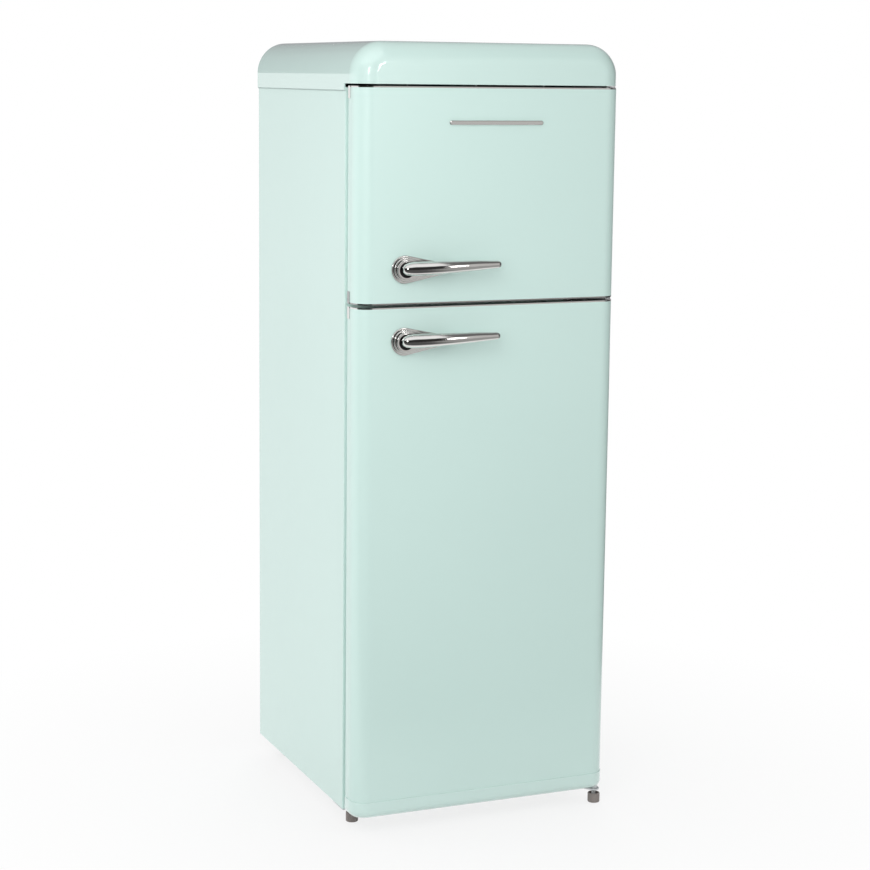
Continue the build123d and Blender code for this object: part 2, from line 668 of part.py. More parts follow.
# Sections along the lever: share of its length, share of the reach of its face, half depth, half
# height, rise of its centre.
LEVER_SECTIONS = (
    (-0.060, 0.467, 2.5, 2.5, 1.2),
    (-0.042, 0.598, 8.0, 8.2, 1.6),
    (0.010, 0.685, 10.8, 11.8, 2.3),
    (0.130, 0.782, 11.4, 12.8, 3.0),
    (0.310, 0.894, 10.4, 12.2, 4.3),
    (0.550, 0.978, 8.8, 10.7, 6.1),
    (0.785, 0.998, 7.4, 8.9, 7.8),
    (0.935, 0.976, 6.3, 7.4, 8.3),
    (0.985, 0.940, 4.7, 5.8, 8.5),
    (1.000, 0.885, 2.3, 3.2, 8.5),
)


def door_handle(height):
    """A fixed pull: a stepped teardrop base, and a lever that rises out of its round end."""
    with BuildPart() as handle:
        for step in range(HANDLE_STEPS):
            shrink = step * HANDLE_STEP[0]
            with BuildSketch(Plane.XZ.offset(-DOOR_Y)):
                with Locations((HANDLE_X, height)):
                    Circle(HANDLE_BASE_RADIUS - shrink)
                with Locations((HANDLE_X + HANDLE_TAPER[0] - 2 * shrink, height)):
                    Circle(HANDLE_TAPER[1] - shrink / 2)
                make_hull()
            extrude(amount=(step + 1) * HANDLE_STEP[1])
            outer_face = handle.faces().sort_by(Axis.Y)[0]
            fillet(outer_face.outer_wire().edges(), HANDLE_EDGE)
        base_y = DOOR_Y - HANDLE_STEPS * HANDLE_STEP[1]
        recess_floor_y = base_y + HANDLE_RECESS[1]
        peg(HANDLE_X, height, (base_y - THROUGH, recess_floor_y), HANDLE_RECESS[0], Mode.SUBTRACT)
        peg(HANDLE_X, height, (DOOR_Y - HANDLE_REACH / 2, recess_floor_y), HANDLE_HUB)
        for along, face, half_depth, half_height, rise in LEVER_SECTIONS:
            section_y = DOOR_Y - HANDLE_REACH * face + half_depth
            centre = (HANDLE_X + LEVER_LENGTH * along, section_y, height + rise)
            with BuildSketch(Plane(centre, x_dir=(0, 1, 0), z_dir=(1, 0, 0))):
                Ellipse(half_depth, half_height)
        loft()
    return handle


# Freezer door
freezer_dyke_z = (FREEZER_FLOOR_Z + DYKE_END_GAP, FREEZER_CEILING_Z - DYKE_END_GAP)
freezer_dyke = (FREEZER_HALF - DYKE_SIDE_GAP, freezer_dyke_z)
freezer_skin_z = (FREEZER_DOOR_BOTTOM + TRIM_RIM, FREEZER_DOOR_TOP - TRIM_RIM)
freezer_foam_z = (freezer_skin_z[0] + TRIM_PLUG, freezer_skin_z[1] - TRIM_PLUG)
keep(door_skin(*freezer_skin_z), "freezer_door_skin")
keep(door_foam(*freezer_foam_z), "freezer_door_foam")
keep(door_liner(*freezer_skin_z, *freezer_dyke), "freezer_door_liner")
keep(door_gasket(FREEZER_DOOR_BOTTOM, FREEZER_DOOR_TOP), "freezer_door_gasket")
keep(top_trim(FREEZER_DOOR_TOP), "freezer_top_trim")
keep(bottom_trim(FREEZER_DOOR_BOTTOM), "freezer_bottom_trim")
keep(door_handle(SPLIT_HEIGHT + FREEZER_HANDLE_RISE), "freezer_handle")
keep(door_bin(freezer_dyke, FREEZER_BIN_DEPTH, FREEZER_UPPER_BIN), "freezer_upper_bin")
keep(door_bin(freezer_dyke, FREEZER_BIN_DEPTH, FREEZER_LOWER_BIN), "freezer_lower_bin")

# Badge: a plain bright bar with round ends.
with BuildPart() as badge:
    with BuildSketch(Plane.XZ.offset(-DOOR_Y)):
        with Locations((BADGE_X, FREEZER_DOOR_TOP - BADGE_DROP)):
            SlotOverall(BADGE_SIZE[0], BADGE_SIZE[1])
    extrude(amount=BADGE_SIZE[2])
    fillet(badge.faces().sort_by(Axis.Y)[0].edges(), HANDLE_EDGE)

keep(badge, "badge")

# Fridge door
fridge_dyke_z = (FRIDGE_FLOOR_Z + DYKE_END_GAP, FRIDGE_CEILING_Z - DYKE_END_GAP)
fridge_dyke = (FRIDGE_HALF - DYKE_SIDE_GAP, fridge_dyke_z)
fridge_skin_z = (FRIDGE_DOOR_BOTTOM + BOTTOM_CAP_HEIGHT, FRIDGE_DOOR_TOP - TRIM_RIM)
fridge_foam_z = (fridge_skin_z[0] + TRIM_PLUG, fridge_skin_z[1] - TRIM_PLUG)
keep(door_skin(*fridge_skin_z), "fridge_door_skin")
keep(door_foam(*fridge_foam_z), "fridge_door_foam")
keep(door_liner(*fridge_skin_z, *fridge_dyke), "fridge_door_liner")
keep(door_gasket(FRIDGE_DOOR_BOTTOM, FRIDGE_DOOR_TOP), "fridge_door_gasket")
keep(top_trim(FRIDGE_DOOR_TOP), "fridge_top_trim")
keep(door_handle(SPLIT_HEIGHT - FRIDGE_HANDLE_DROP), "fridge_handle")
keep(door_bin(fridge_dyke, FRIDGE_BIN_DEPTH, DAIRY_BIN), "dairy_bin")
keep(door_bin(fridge_dyke, FRIDGE_BIN_DEPTH, MIDDLE_BIN), "middle_bin")
keep(door_bin(fridge_dyke, FRIDGE_BIN_DEPTH, BOTTLE_BIN), "bottle_bin")

# Bottom cap of the fridge door: proud of the skin, rounded underneath, bored for the hollow pin.
with BuildPart() as fridge_bottom_cap:
    extrude(door_plan(FRIDGE_DOOR_BOTTOM, -BOTTOM_CAP_PROUD), amount=BOTTOM_CAP_HEIGHT)
    under = fridge_bottom_cap.faces().sort_by(Axis.Z)[0].edges()
    fillet(under - under.sort_by(Axis.Y)[-1:], BOTTOM_CAP_ROUND)
    add(trim_plug(fridge_skin_z[0], TRIM_PLUG))
    cap_bore = (FRIDGE_DOOR_BOTTOM, FRIDGE_DOOR_BOTTOM + BRACKET_DROP + HINGE_PIN_REACH)
    post(HINGE_X, HINGE_Y, cap_bore, HOLLOW_PIN + RUNNING_FIT, Mode.SUBTRACT)

keep(fridge_bottom_cap, "fridge_bottom_cap")


def hinge_nose(z, radius, rear_x, rear_y):
    """A hinge plate in plan: round about the pin, spreading to its fixing behind."""
    with BuildSketch(Plane.XY.offset(z)) as nose:
        with Locations((HINGE_X, HINGE_Y)):
            Circle(radius)
        with Locations(((rear_x[0] + rear_x[1]) / 2, (rear_y[0] + rear_y[1]) / 2)):
            Rectangle(rear_x[1] - rear_x[0], rear_y[1] - rear_y[0])
        make_hull()
    return nose.sketch


# Top hinge: a plate in the gap over the freezer door, on a spacer screwed to the wrapper.
top_plate_z = COVER_EDGE_Z - (COVER_GAP + HINGE_PLATE) / 2
with BuildPart() as top_hinge:
    fixing_x = (HINGE_X - 3 * HINGE_NOSE, HINGE_X + HINGE_NOSE)
    fixing_y = (FACE_Y + HINGE_NOSE, FACE_Y + 6 * HINGE_NOSE)
    extrude(hinge_nose(top_plate_z, HINGE_NOSE, fixing_x, fixing_y), amount=HINGE_PLATE)
    block(fixing_x, fixing_y, (TOP_Z, top_plate_z))
    post(HINGE_X, HINGE_Y, (FREEZER_DOOR_TOP - HINGE_PIN_REACH, top_plate_z), HINGE_PIN)
    for x, y in top_hinge_screws:
        post(x, y, (TOP_Z, top_plate_z + HINGE_PLATE), SCREW_SHANK, Mode.SUBTRACT)

keep(top_hinge, "top_hinge")

# Middle hinge: a plate in the gap between the doors with a pin up and a pin down.
middle_flange_z = (
    FRIDGE_DOOR_TOP - GASKET_END_INSET + SEAL_CLEARANCE,
    FREEZER_DOOR_BOTTOM + GASKET_END_INSET - SEAL_CLEARANCE,
)
middle_plate_z = (SPLIT_HEIGHT - HINGE_PLATE / 2, SPLIT_HEIGHT + HINGE_PLATE / 2)
with BuildPart() as middle_hinge:
    flange_x = (min(middle_screws) - 2 * SCREW_HEAD[0], HINGE_X + HINGE_NOSE)
    flange_y = (FACE_Y - HINGE_PLATE, FACE_Y)
    extrude(hinge_nose(middle_plate_z[0], HINGE_NOSE, flange_x, flange_y), amount=HINGE_PLATE)
    block(flange_x, flange_y, middle_flange_z)
    pin_z = (FRIDGE_DOOR_TOP - HINGE_PIN_REACH, FREEZER_DOOR_BOTTOM + HINGE_PIN_REACH)
    post(HINGE_X, HINGE_Y, pin_z, HINGE_PIN)
    for x in middle_screws:
        head_y = (DOOR_BACK_Y, FACE_Y - HINGE_PLATE)
        peg(x, SPLIT_HEIGHT, head_y, SCREW_HEAD[0] + RUN_CLEARANCE, Mode.SUBTRACT)
        peg(x, SPLIT_HEIGHT, flange_y, SCREW_SHANK, Mode.SUBTRACT)

keep(middle_hinge, "middle_hinge")

# Bottom hinge: a cranked bracket under the cabinet whose hollow pin also holds the right foot.
with BuildPart() as bottom_hinge:
    nose_z = (UNDER_DOOR_Z - BRACKET_PLATE, UNDER_DOOR_Z)
    web_y = (bracket_y[0] - BRACKET_PLATE, bracket_y[0])
    nose = hinge_nose(nose_z[0], HOLLOW_PIN + BRACKET_PLATE, bracket_x, web_y)
    extrude(nose, amount=BRACKET_PLATE)
    block(bracket_x, web_y, (nose_z[0], BASE_Z))
    block(bracket_x, (web_y[0], bracket_y[1]), (BASE_Z - BRACKET_PLATE, BASE_Z))
    post(HINGE_X, HINGE_Y, (nose_z[0], FRIDGE_DOOR_BOTTOM + HINGE_PIN_REACH), HOLLOW_PIN)
    bore_z = (nose_z[0] - THROUGH, FRIDGE_DOOR_BOTTOM + HINGE_PIN_REACH + THROUGH)
    post(HINGE_X, HINGE_Y, bore_z, FOOT_STUD + RUNNING_FIT, Mode.SUBTRACT)
    for x, y in bracket_screws:
        post(x, y, (BASE_Z - BRACKET_PLATE, BASE_Z), SCREW_SHANK, Mode.SUBTRACT)

keep(bottom_hinge, "bottom_hinge")

# Left foot bracket: a plate under the base pan with a nut for the foot.
with BuildPart() as left_foot_bracket:
    plate_x = (LEFT_FOOT[0] - FOOT_BRACKET[0] / 2, LEFT_FOOT[0] + FOOT_BRACKET[0] / 2)
    plate_y = (FACE_Y + SHEET, LEFT_FOOT[1] + FOOT_BRACKET[1] / 2)
    block(plate_x, plate_y, (BASE_Z - BRACKET_PLATE, BASE_Z))
    nut_z = (BASE_Z - BRACKET_PLATE - FOOT_NUT[1], BASE_Z)
    post(*LEFT_FOOT, nut_z, FOOT_NUT[0])
    post(*LEFT_FOOT, nut_z, FOOT_STUD + RUNNING_FIT, Mode.SUBTRACT)
    for x, y in foot_bracket_screws:
        post(x, y, (BASE_Z - BRACKET_PLATE, BASE_Z), SCREW_SHANK, Mode.SUBTRACT)

keep(left_foot_bracket, "left_foot_bracket")


def levelling_foot(x, y):
    """A screw-in foot: a cupped plastic pad on a threaded stud."""
    with BuildPart() as foot:
        post(x, y, (0, FOOT_HEIGHT), FOOT_RADIUS)
        fillet(foot.faces().sort_by(Axis.Z)[0].edges(), HANDLE_EDGE)
        post(x, y, (FOOT_HEIGHT - FOOT_CUP[1], FOOT_HEIGHT), FOOT_CUP[0], Mode.SUBTRACT)
        post(x, y, (FOOT_HEIGHT - FOOT_CUP[1], FOOT_STUD_TOP), FOOT_STUD)
    return foot


keep(levelling_foot(*LEFT_FOOT), "left_foot")
keep(levelling_foot(HINGE_X, HINGE_Y), "right_foot")

# Screws of the hinges and brackets, all one kind.
with BuildPart() as fixing_screws:
    head, head_height = SCREW_HEAD
    plate_top = top_plate_z + HINGE_PLATE
    for x, y in top_hinge_screws:
        post(x, y, (plate_top, plate_top + head_height), head)
        post(x, y, (TOP_Z - SHEET, plate_top), SCREW_SHANK)
    for x in middle_screws:
        peg(x, SPLIT_HEIGHT, (FACE_Y - HINGE_PLATE - head_height, FACE_Y - HINGE_PLATE), head)
        peg(x, SPLIT_HEIGHT, (FACE_Y - HINGE_PLATE, FACE_Y + SHEET), SCREW_SHANK)
    plate_under = BASE_Z - BRACKET_PLATE
    for x, y in bracket_screws + foot_bracket_screws:
        post(x, y, (plate_under - head_height, plate_under), head)
        post(x, y, (plate_under, BASE_Z + PAN_SHEET), SCREW_SHANK)

keep(fixing_screws, "fixing_screws")


def glass_shelf(top_z):
    """A glass shelf on the ledges at top_z."""
    half = FRIDGE_HALF - SHELF_SIDE_GAP
    with BuildPart() as shelf:
        block((-half, half), (SHELF_Y, FRIDGE_BACK_Y - SHELF_BACK_GAP), (top_z, top_z + GLASS))
    return shelf


keep(glass_shelf(CRISPER_LID_Z), "crisper_lid")
keep(glass_shelf(LOWER_SHELF_Z), "lower_shelf")
keep(glass_shelf(UPPER_SHELF_Z), "upper_shelf")

# Front trims of the glass shelves, each a channel round the glass edge.
with BuildPart() as shelf_trims:
    trim_half = FRIDGE_HALF - SHELF_SIDE_GAP
    for shelf_z in (CRISPER_LID_Z, LOWER_SHELF_Z, UPPER_SHELF_Z):
        block(
            (-trim_half, trim_half),
            (SHELF_Y - SHELF_TRIM_WALL, SHELF_Y),
            (shelf_z - SHELF_TRIM_WALL, shelf_z + GLASS + SHELF_TRIM_WALL),
        )
        block(
            (-trim_half, trim_half),
            (SHELF_Y, SHELF_Y + SHELF_TRIM),
            (shelf_z + GLASS, shelf_z + GLASS + SHELF_TRIM_WALL),
        )

keep(shelf_trims, "shelf_trims")

# Freezer shelf: a welded wire rack.
with BuildPart() as freezer_shelf:
    rack_half = FREEZER_HALF - SHELF_SIDE_GAP
    rack_y = (SHELF_Y, FREEZER_BACK_Y - SHELF_BACK_GAP)
    rod_radius, bar_radius = SHELF_ROD / 2, SHELF_BAR / 2
    rack_z = FREEZER_SHELF_Z + rod_radius
    for y in (rack_y[0] + rod_radius, (rack_y[0] + rack_y[1]) / 2, rack_y[1] - rod_radius):
        spindle(y, rack_z, (-rack_half, rack_half), rod_radius)
    bar_step = (2 * rack_half - 4 * SHELF_ROD) / (SHELF_BAR_COUNT - 1)
    for bar in range(SHELF_BAR_COUNT):
        x = -rack_half + 2 * SHELF_ROD + bar * bar_step
        peg(x, rack_z, (rack_y[0] + rod_radius, rack_y[1] - rod_radius), bar_radius)

keep(freezer_shelf, "freezer_shelf")

# Crisper drawer: an open box on the floor of the fridge, with a grip cut in its front.
with BuildPart() as crisper_drawer:
    drawer_half = FRIDGE_HALF - CRISPER_SIDE_GAP
    drawer_y = (SHELF_Y, HUMP_Y - CRISPER_BACK_GAP)
    drawer_z = (FRIDGE_FLOOR_Z + RUN_CLEARANCE, CRISPER_LID_Z - LEDGE_HEIGHT - CRISPER_TOP_GAP)
    block((-drawer_half, drawer_half), drawer_y, drawer_z)
    fillet(crisper_drawer.edges().filter_by(Axis.Z), CRISPER_CORNER)
    drawer_mid = (drawer_y[0] + drawer_y[1]) / 2
    inner_width = 2 * (drawer_half - CRISPER_WALL)
    inner_depth = drawer_y[1] - drawer_y[0] - 2 * CRISPER_WALL
    with BuildSketch(Plane.XY.offset(drawer_z[0] + CRISPER_WALL)):
        with Locations((0, drawer_mid)):
            RectangleRounded(inner_width, inner_depth, CRISPER_CORNER - CRISPER_WALL)
    extrude(amount=drawer_z[1] - drawer_z[0], mode=Mode.SUBTRACT)
    with BuildSketch(Plane.XZ.offset(-drawer_y[0])):
        with Locations((0, drawer_z[1])):
            RectangleRounded(CRISPER_GRIP[0], 2 * CRISPER_GRIP[1], CRISPER_GRIP_ROUND)
    extrude(amount=-2 * CRISPER_WALL, mode=Mode.SUBTRACT)

keep(crisper_drawer, "crisper_drawer")

# Thermostat housing on the fridge ceiling, bored for the knob's shaft.
box_y = (FACE_Y + THERMOSTAT_SETBACK, FACE_Y + THERMOSTAT_SETBACK + THERMOSTAT_BOX[1])
box_z = (FRIDGE_CEILING_Z - THERMOSTAT_BOX[2], FRIDGE_CEILING_Z)
knob_z = (box_z[0] + box_z[1]) / 2
with BuildPart() as thermostat_housing:
    block((-THERMOSTAT_BOX[0] / 2, THERMOSTAT_BOX[0] / 2), box_y, box_z)
    lower_edges = thermostat_housing.faces().sort_by(Axis.Z)[0].edges()
    fillet(lower_edges, THERMOSTAT_ROUND)
    peg(KNOB_X, knob_z, (box_y[0], box_y[0] + KNOB_SHAFT[1]), KNOB_SHAFT[0] + RUNNING_FIT, Mode.SUBTRACT)

keep(thermostat_housing, "thermostat_housing")

with BuildPart() as thermostat_knob:
    knob_y = (box_y[0] - RUN_CLEARANCE - KNOB_DEPTH, box_y[0] - RUN_CLEARANCE)
    flange_depth = KNOB_DEPTH / 3
    peg(KNOB_X, knob_z, (knob_y[1] - flange_depth, knob_y[1]), KNOB_RADIUS)
    fillet(thermostat_knob.faces().sort_by(Axis.Y)[0].edges(), HANDLE_EDGE)
    block(
        (KNOB_X - KNOB_GRIP[0], KNOB_X + KNOB_GRIP[0]),
        (knob_y[0], knob_y[1] - flange_depth),
        (knob_z - KNOB_RADIUS + HANDLE_EDGE, knob_z + KNOB_RADIUS - HANDLE_EDGE),
    )
    fillet(thermostat_knob.faces().sort_by(Axis.Y)[0].edges(), HANDLE_EDGE)
    shaft_y = (knob_y[1], box_y[0] + KNOB_SHAFT[1] - RUN_CLEARANCE)
    peg(KNOB_X, knob_z, shaft_y, KNOB_SHAFT[0])

keep(thermostat_knob, "thermostat_knob")

with BuildPart() as lamp_lens:
    with BuildSketch(Plane.XZ.offset(-box_y[0])):
        with Locations((LENS_X, knob_z)):
            RectangleRounded(LENS[0], LENS[1], THERMOSTAT_ROUND)
    extrude(amount=LENS[2])
    fillet(lamp_lens.faces().sort_by(Axis.Y)[0].edges(), HANDLE_EDGE)

keep(lamp_lens, "lamp_lens")

# Door switch: a small housing under the ceiling and a plunger that the door's dyke pushes in.
switch_z = fridge_dyke_z[1] - DYKE_WIDTH / 2
switch_y = (FACE_Y + SWITCH_SETBACK, FACE_Y + SWITCH_SETBACK + SWITCH_BODY[1])
plunger_tip = DOOR_BACK_Y + DYKE_HEIGHT + RUN_CLEARANCE
plunger_tail = switch_y[1] - PLUNGER
with BuildPart() as switch_housing:
    block(
        (SWITCH_X - SWITCH_BODY[0] / 2, SWITCH_X + SWITCH_BODY[0] / 2),
        switch_y,
        (FRIDGE_CEILING_Z - SWITCH_BODY[2], FRIDGE_CEILING_Z),
    )
    peg(
        SWITCH_X,
        switch_z,
        (switch_y[0], plunger_tail + RUN_CLEARANCE),
        PLUNGER + RUNNING_FIT,
        Mode.SUBTRACT,
    )

keep(switch_housing, "switch_housing")

with BuildPart() as switch_plunger:
    peg(SWITCH_X, switch_z, (plunger_tip, plunger_tail), PLUNGER)
    fillet(switch_plunger.faces().sort_by(Axis.Y)[0].edges(), HANDLE_EDGE)

keep(switch_plunger, "switch_plunger")

# Compressor tray across the machine bay, with ears that carry the rear rollers.
ROLLER_Y = BACK_Y - ROLLER_SETBACK
roller_centre = HALF_WIDTH - ROLLER_INSET
roller_spans = [
    (side * roller_centre - ROLLER_WIDTH / 2, side * roller_centre + ROLLER_WIDTH / 2) for side in (-1, 1)
]
compressor_y = (BAY_Y + BACK_Y) / 2
grommet_places = [
    (COMPRESSOR_X + side * GROMMET_SPACING[0] / 2, compressor_y + end * GROMMET_SPACING[1] / 2)
    for side in (-1, 1)
    for end in (-1, 1)
]
gland_x = -HALF_WIDTH / 2
gland_z = TRAY_TOP_Z + TRAY_LIP
with BuildPart() as compressor_tray:
    tray_x = (-HALF_WIDTH + SHEET, HALF_WIDTH - SHEET)
    block(tray_x, (BAY_Y, BACK_Y), (BASE_Z, TRAY_TOP_Z))
    block(tray_x, (BACK_Y - TRAY_SHEET, BACK_Y), (BASE_Z, TRAY_TOP_Z + TRAY_LIP))
    block(
        (gland_x - 2 * GLAND[0], gland_x + 2 * GLAND[0]),
        (BACK_Y - TRAY_SHEET, BACK_Y),
        (BASE_Z, gland_z + GLAND_TAB),
    )
    peg(gland_x, gland_z, (BACK_Y - TRAY_SHEET, BACK_Y), GLAND[1], Mode.SUBTRACT)
    for span in roller_spans:
        for ear_x in (span[0] - ROLLER_SIDE_GAP - ROLLER_EAR, span[1] + ROLLER_SIDE_GAP):
            ear_y = (ROLLER_Y - ROLLER_EAR_REACH, ROLLER_Y + ROLLER_EAR_REACH)
            block((ear_x, ear_x + ROLLER_EAR), ear_y, (ROLLER_RADIUS - 2 * AXLE, BASE_Z))
        bore = (span[0] - ROLLER_WIDTH, span[1] + ROLLER_WIDTH)
        spindle(ROLLER_Y, ROLLER_RADIUS, bore, AXLE, Mode.SUBTRACT)

keep(compressor_tray, "compressor_tray")

with BuildPart() as roller_axles:
    for span in roller_spans:
        overhang = ROLLER_SIDE_GAP + 2 * ROLLER_EAR
        spindle(ROLLER_Y, ROLLER_RADIUS, (span[0] - overhang, span[1] + overhang), AXLE)

keep(roller_axles, "roller_axles")

for span, name in zip(roller_spans, ("left_roller", "right_roller")):
    with BuildPart() as roller:
        spindle(ROLLER_Y, ROLLER_RADIUS, span, ROLLER_RADIUS)
        fillet(roller.edges().filter_by(GeomType.CIRCLE), HANDLE_EDGE)
        spindle(ROLLER_Y, ROLLER_RADIUS, span, AXLE + RUNNING_FIT, Mode.SUBTRACT)
    keep(roller, name)

# Compressor: a welded shell on four rubber grommets, with its relay box and drip tray.
with BuildPart() as compressor_grommets:
    for x, y in grommet_places:
        post(x, y, (TRAY_TOP_Z, TRAY_TOP_Z + GROMMET[1]), GROMMET[0])

keep(compressor_grommets, "compressor_grommets")

shell_z = TRAY_TOP_Z + GROMMET[1]
shell_top_z = shell_z + COMPRESSOR_HEIGHT
with BuildPart() as compressor:
    with BuildSketch(Plane.XY.offset(shell_z)):
        with Locations((COMPRESSOR_X, compressor_y)):
            Ellipse(COMPRESSOR_RADII[0], COMPRESSOR_RADII[1])
    extrude(amount=COMPRESSOR_HEIGHT)
    fillet(compressor.faces().sort_by(Axis.Z)[-1].edges(), COMPRESSOR_DOME)
    fillet(compressor.faces().sort_by(Axis.Z)[0].edges(), COMPRESSOR_DOME / 2)
    with BuildSketch(Plane.XY.offset(shell_z + COMPRESSOR_HEIGHT / 2)):
        with Locations((COMPRESSOR_X, compressor_y)):
            Ellipse(COMPRESSOR_RADII[0] + COMPRESSOR_SEAM[0], COMPRESSOR_RADII[1] + COMPRESSOR_SEAM[0])
    extrude(amount=COMPRESSOR_SEAM[1])
    foot_half = GROMMET_SPACING[0] / 2 + GROMMET[0]
    for end in (-1, 1):
        foot_y = compressor_y + end * GROMMET_SPACING[1] / 2
        block(
            (COMPRESSOR_X - foot_half, COMPRESSOR_X + foot_half),
            (foot_y - COMPRESSOR_FOOT[0] / 2, foot_y + COMPRESSOR_FOOT[0] / 2),
            (shell_z, shell_z + COMPRESSOR_FOOT[1]),
        )

keep(compressor, "compressor")

with BuildPart() as start_relay:
    relay_x = COMPRESSOR_X + COMPRESSOR_RADII[0] + COMPRESSOR_SEAM[0]
    relay_z = shell_z + RELAY_LIFT
    block(
        (relay_x, relay_x + RELAY[0]),
        (compressor_y - RELAY[1] / 2, compressor_y + RELAY[1] / 2),
        (relay_z, relay_z + RELAY[2]),
    )
    fillet(start_relay.faces().sort_by(Axis.X)[-1].edges(), THERMOSTAT_ROUND)

keep(start_relay, "start_relay")

with BuildPart() as drip_tray:
    tray_z = (shell_top_z, shell_top_z + DRIP_TRAY[2])
    drip_x = (COMPRESSOR_X - DRIP_TRAY[0] / 2, COMPRESSOR_X + DRIP_TRAY[0] / 2)
    drip_y = (compressor_y - DRIP_TRAY[1] / 2, compressor_y + DRIP_TRAY[1] / 2)
    block(drip_x, drip_y, tray_z)
    fillet(drip_tray.edges().filter_by(Axis.Z), CRISPER_CORNER)
    with BuildSketch(Plane.XY.offset(tray_z[0] + DRIP_TRAY_WALL)):
        with Locations((COMPRESSOR_X, compressor_y)):
            RectangleRounded(
                DRIP_TRAY[0] - 2 * DRIP_TRAY_WALL,
                DRIP_TRAY[1] - 2 * DRIP_TRAY_WALL,
                CRISPER_CORNER - DRIP_TRAY_WALL,
            )
    extrude(amount=DRIP_TRAY[2], mode=Mode.SUBTRACT)

keep(drip_tray, "drip_tray")

# Condenser: a serpentine tube with a riser to its top, and wires brazed across its back.
tube_y = BACK_Y + CONDENSER_GAP + CONDENSER_TUBE
run_half = CONDENSER_WIDTH / 2
first_run_z = BAY_TOP_Z + CONDENSER_LIFT
last_run_z = first_run_z + (CONDENSER_RUNS - 1) * CONDENSER_PITCH
riser_x = run_half + RISER_GAP
tail_z = BAY_TOP_Z + CONDENSER_TAIL
serpentine = [(riser_x, tube_y, tail_z), (riser_x, tube_y, last_run_z)]
for run in range(CONDENSER_RUNS):
    run_z = last_run_z - run * CONDENSER_PITCH
    towards = -1 if run % 2 == 0 else 1
    if run > 0:
        serpentine.append((-towards * run_half, tube_y, run_z))
    serpentine.append((towards * run_half, tube_y, run_z))
serpentine.append((serpentine[-1][0], tube_y, tail_z))
with BuildPart() as condenser_tube:
    with BuildLine() as tube_path:
        FilletPolyline(*serpentine, radius=CONDENSER_BEND)
    with BuildSketch(Plane(serpentine[0], z_dir=(0, 0, 1))):
        Circle(CONDENSER_TUBE)
    sweep(path=tube_path.wires()[0])

keep(condenser_tube, "condenser_tube")

wire_y = tube_y + CONDENSER_TUBE + BRAZE_GAP + CONDENSER_WIRE
wire_half = run_half - CONDENSER_BEND
with BuildPart() as condenser_wires:
    wire_step = 2 * wire_half / (CONDENSER_WIRES - 1)
    wire_z = (first_run_z - CONDENSER_BEND / 2, last_run_z + CONDENSER_BEND / 2)
    for wire in range(CONDENSER_WIRES):
        post(-wire_half + wire * wire_step, wire_y, wire_z, CONDENSER_WIRE)

keep(condenser_wires, "condenser_wires")

# Clips that stand the condenser off the back panel at its second and last but one runs.
with BuildPart() as condenser_clips:
    clip_x = wire_half - wire_step / 2
    for side in (-1, 1):
        for run in (1, CONDENSER_RUNS - 2):
            run_z = first_run_z + run * CONDENSER_PITCH
            block(
                (side * clip_x - wire_step / 3, side * clip_x + wire_step / 3),
                (BACK_Y, tube_y + CONDENSER_TUBE + CONDENSER_WIRE),
                (run_z - CLIP[1] / 2, run_z + CLIP[1] / 2),
            )
            span = (side * clip_x - CLIP[0], side * clip_x + CLIP[0])
            spindle(tube_y, run_z, span, CONDENSER_TUBE + BRAZE_GAP, Mode.SUBTRACT)

keep(condenser_clips, "condenser_clips")


def pipe(points, radius, bend):
    """A refrigerant pipe: straight runs with bent corners."""
    with BuildPart() as tube:
        with BuildLine() as route:
            FilletPolyline(*points, radius=bend)
        along = (Vector(*points[1]) - Vector(*points[0])).normalized()
        with BuildSketch(Plane(points[0], z_dir=along)):
            Circle(radius)
        sweep(path=route.wires()[0])
    return tube.part


# Pipework in the machine bay: discharge to the riser, condenser outlet to the drier, suction.
discharge_z = shell_z + DISCHARGE_LIFT
outlet_x = serpentine[-1][0]
discharge = pipe(
    [
        (COMPRESSOR_X, compressor_y + COMPRESSOR_RADII[1] + BRAZE_GAP, discharge_z),
        (COMPRESSOR_X, tube_y, discharge_z),
        (riser_x, tube_y, discharge_z),
        (riser_x, tube_y, tail_z - BRAZE_GAP),
    ],
    PIPE,
    PIPE_BEND,
)
drier_x = outlet_x + 3 * PIPE_BEND
drier_y = tube_y - 4 * PIPE_BEND
drier_z = (shell_z + 2 * DRIER[0], shell_z + 2 * DRIER[0] + DRIER[1])
liquid_z = drier_z[1] + 2 * PIPE_BEND
liquid = pipe(
    [
        (outlet_x, tube_y, tail_z - BRAZE_GAP),
        (outlet_x, tube_y, liquid_z),
        (outlet_x, drier_y, liquid_z),
        (drier_x, drier_y, liquid_z),
        (drier_x, drier_y, drier_z[1]),
    ],
    PIPE,
    LIQUID_BEND,
)
suction_x = COMPRESSOR_X - COMPRESSOR_RADII[0] - 4 * PIPE_BEND
suction = pipe(
    [
        (suction_x + 4 * PIPE_BEND - BRAZE_GAP, compressor_y, discharge_z),
        (suction_x, compressor_y, discharge_z),
        (suction_x, BAY_Y + BRAZE_GAP, discharge_z),
    ],
    PIPE,
    PIPE_BEND,
)
capillary = pipe(
    [
        (drier_x, drier_y, drier_z[0]),
        (drier_x, drier_y, drier_z[0] - PIPE_BEND),
        (drier_x, BAY_Y + BRAZE_GAP, drier_z[0] - PIPE_BEND),
    ],
    CAPILLARY,
    PIPE_BEND / 2,
)
with BuildPart() as filter_drier:
    post(drier_x, drier_y, drier_z, DRIER[0])
    fillet(filter_drier.edges().filter_by(GeomType.CIRCLE), DRIER[0] / 3)

with BuildPart() as refrigerant_pipes:
    add(discharge)
    add(liquid)
    add(suction)
    add(capillary)
    add(filter_drier.part)

keep(refrigerant_pipes, "refrigerant_pipes")

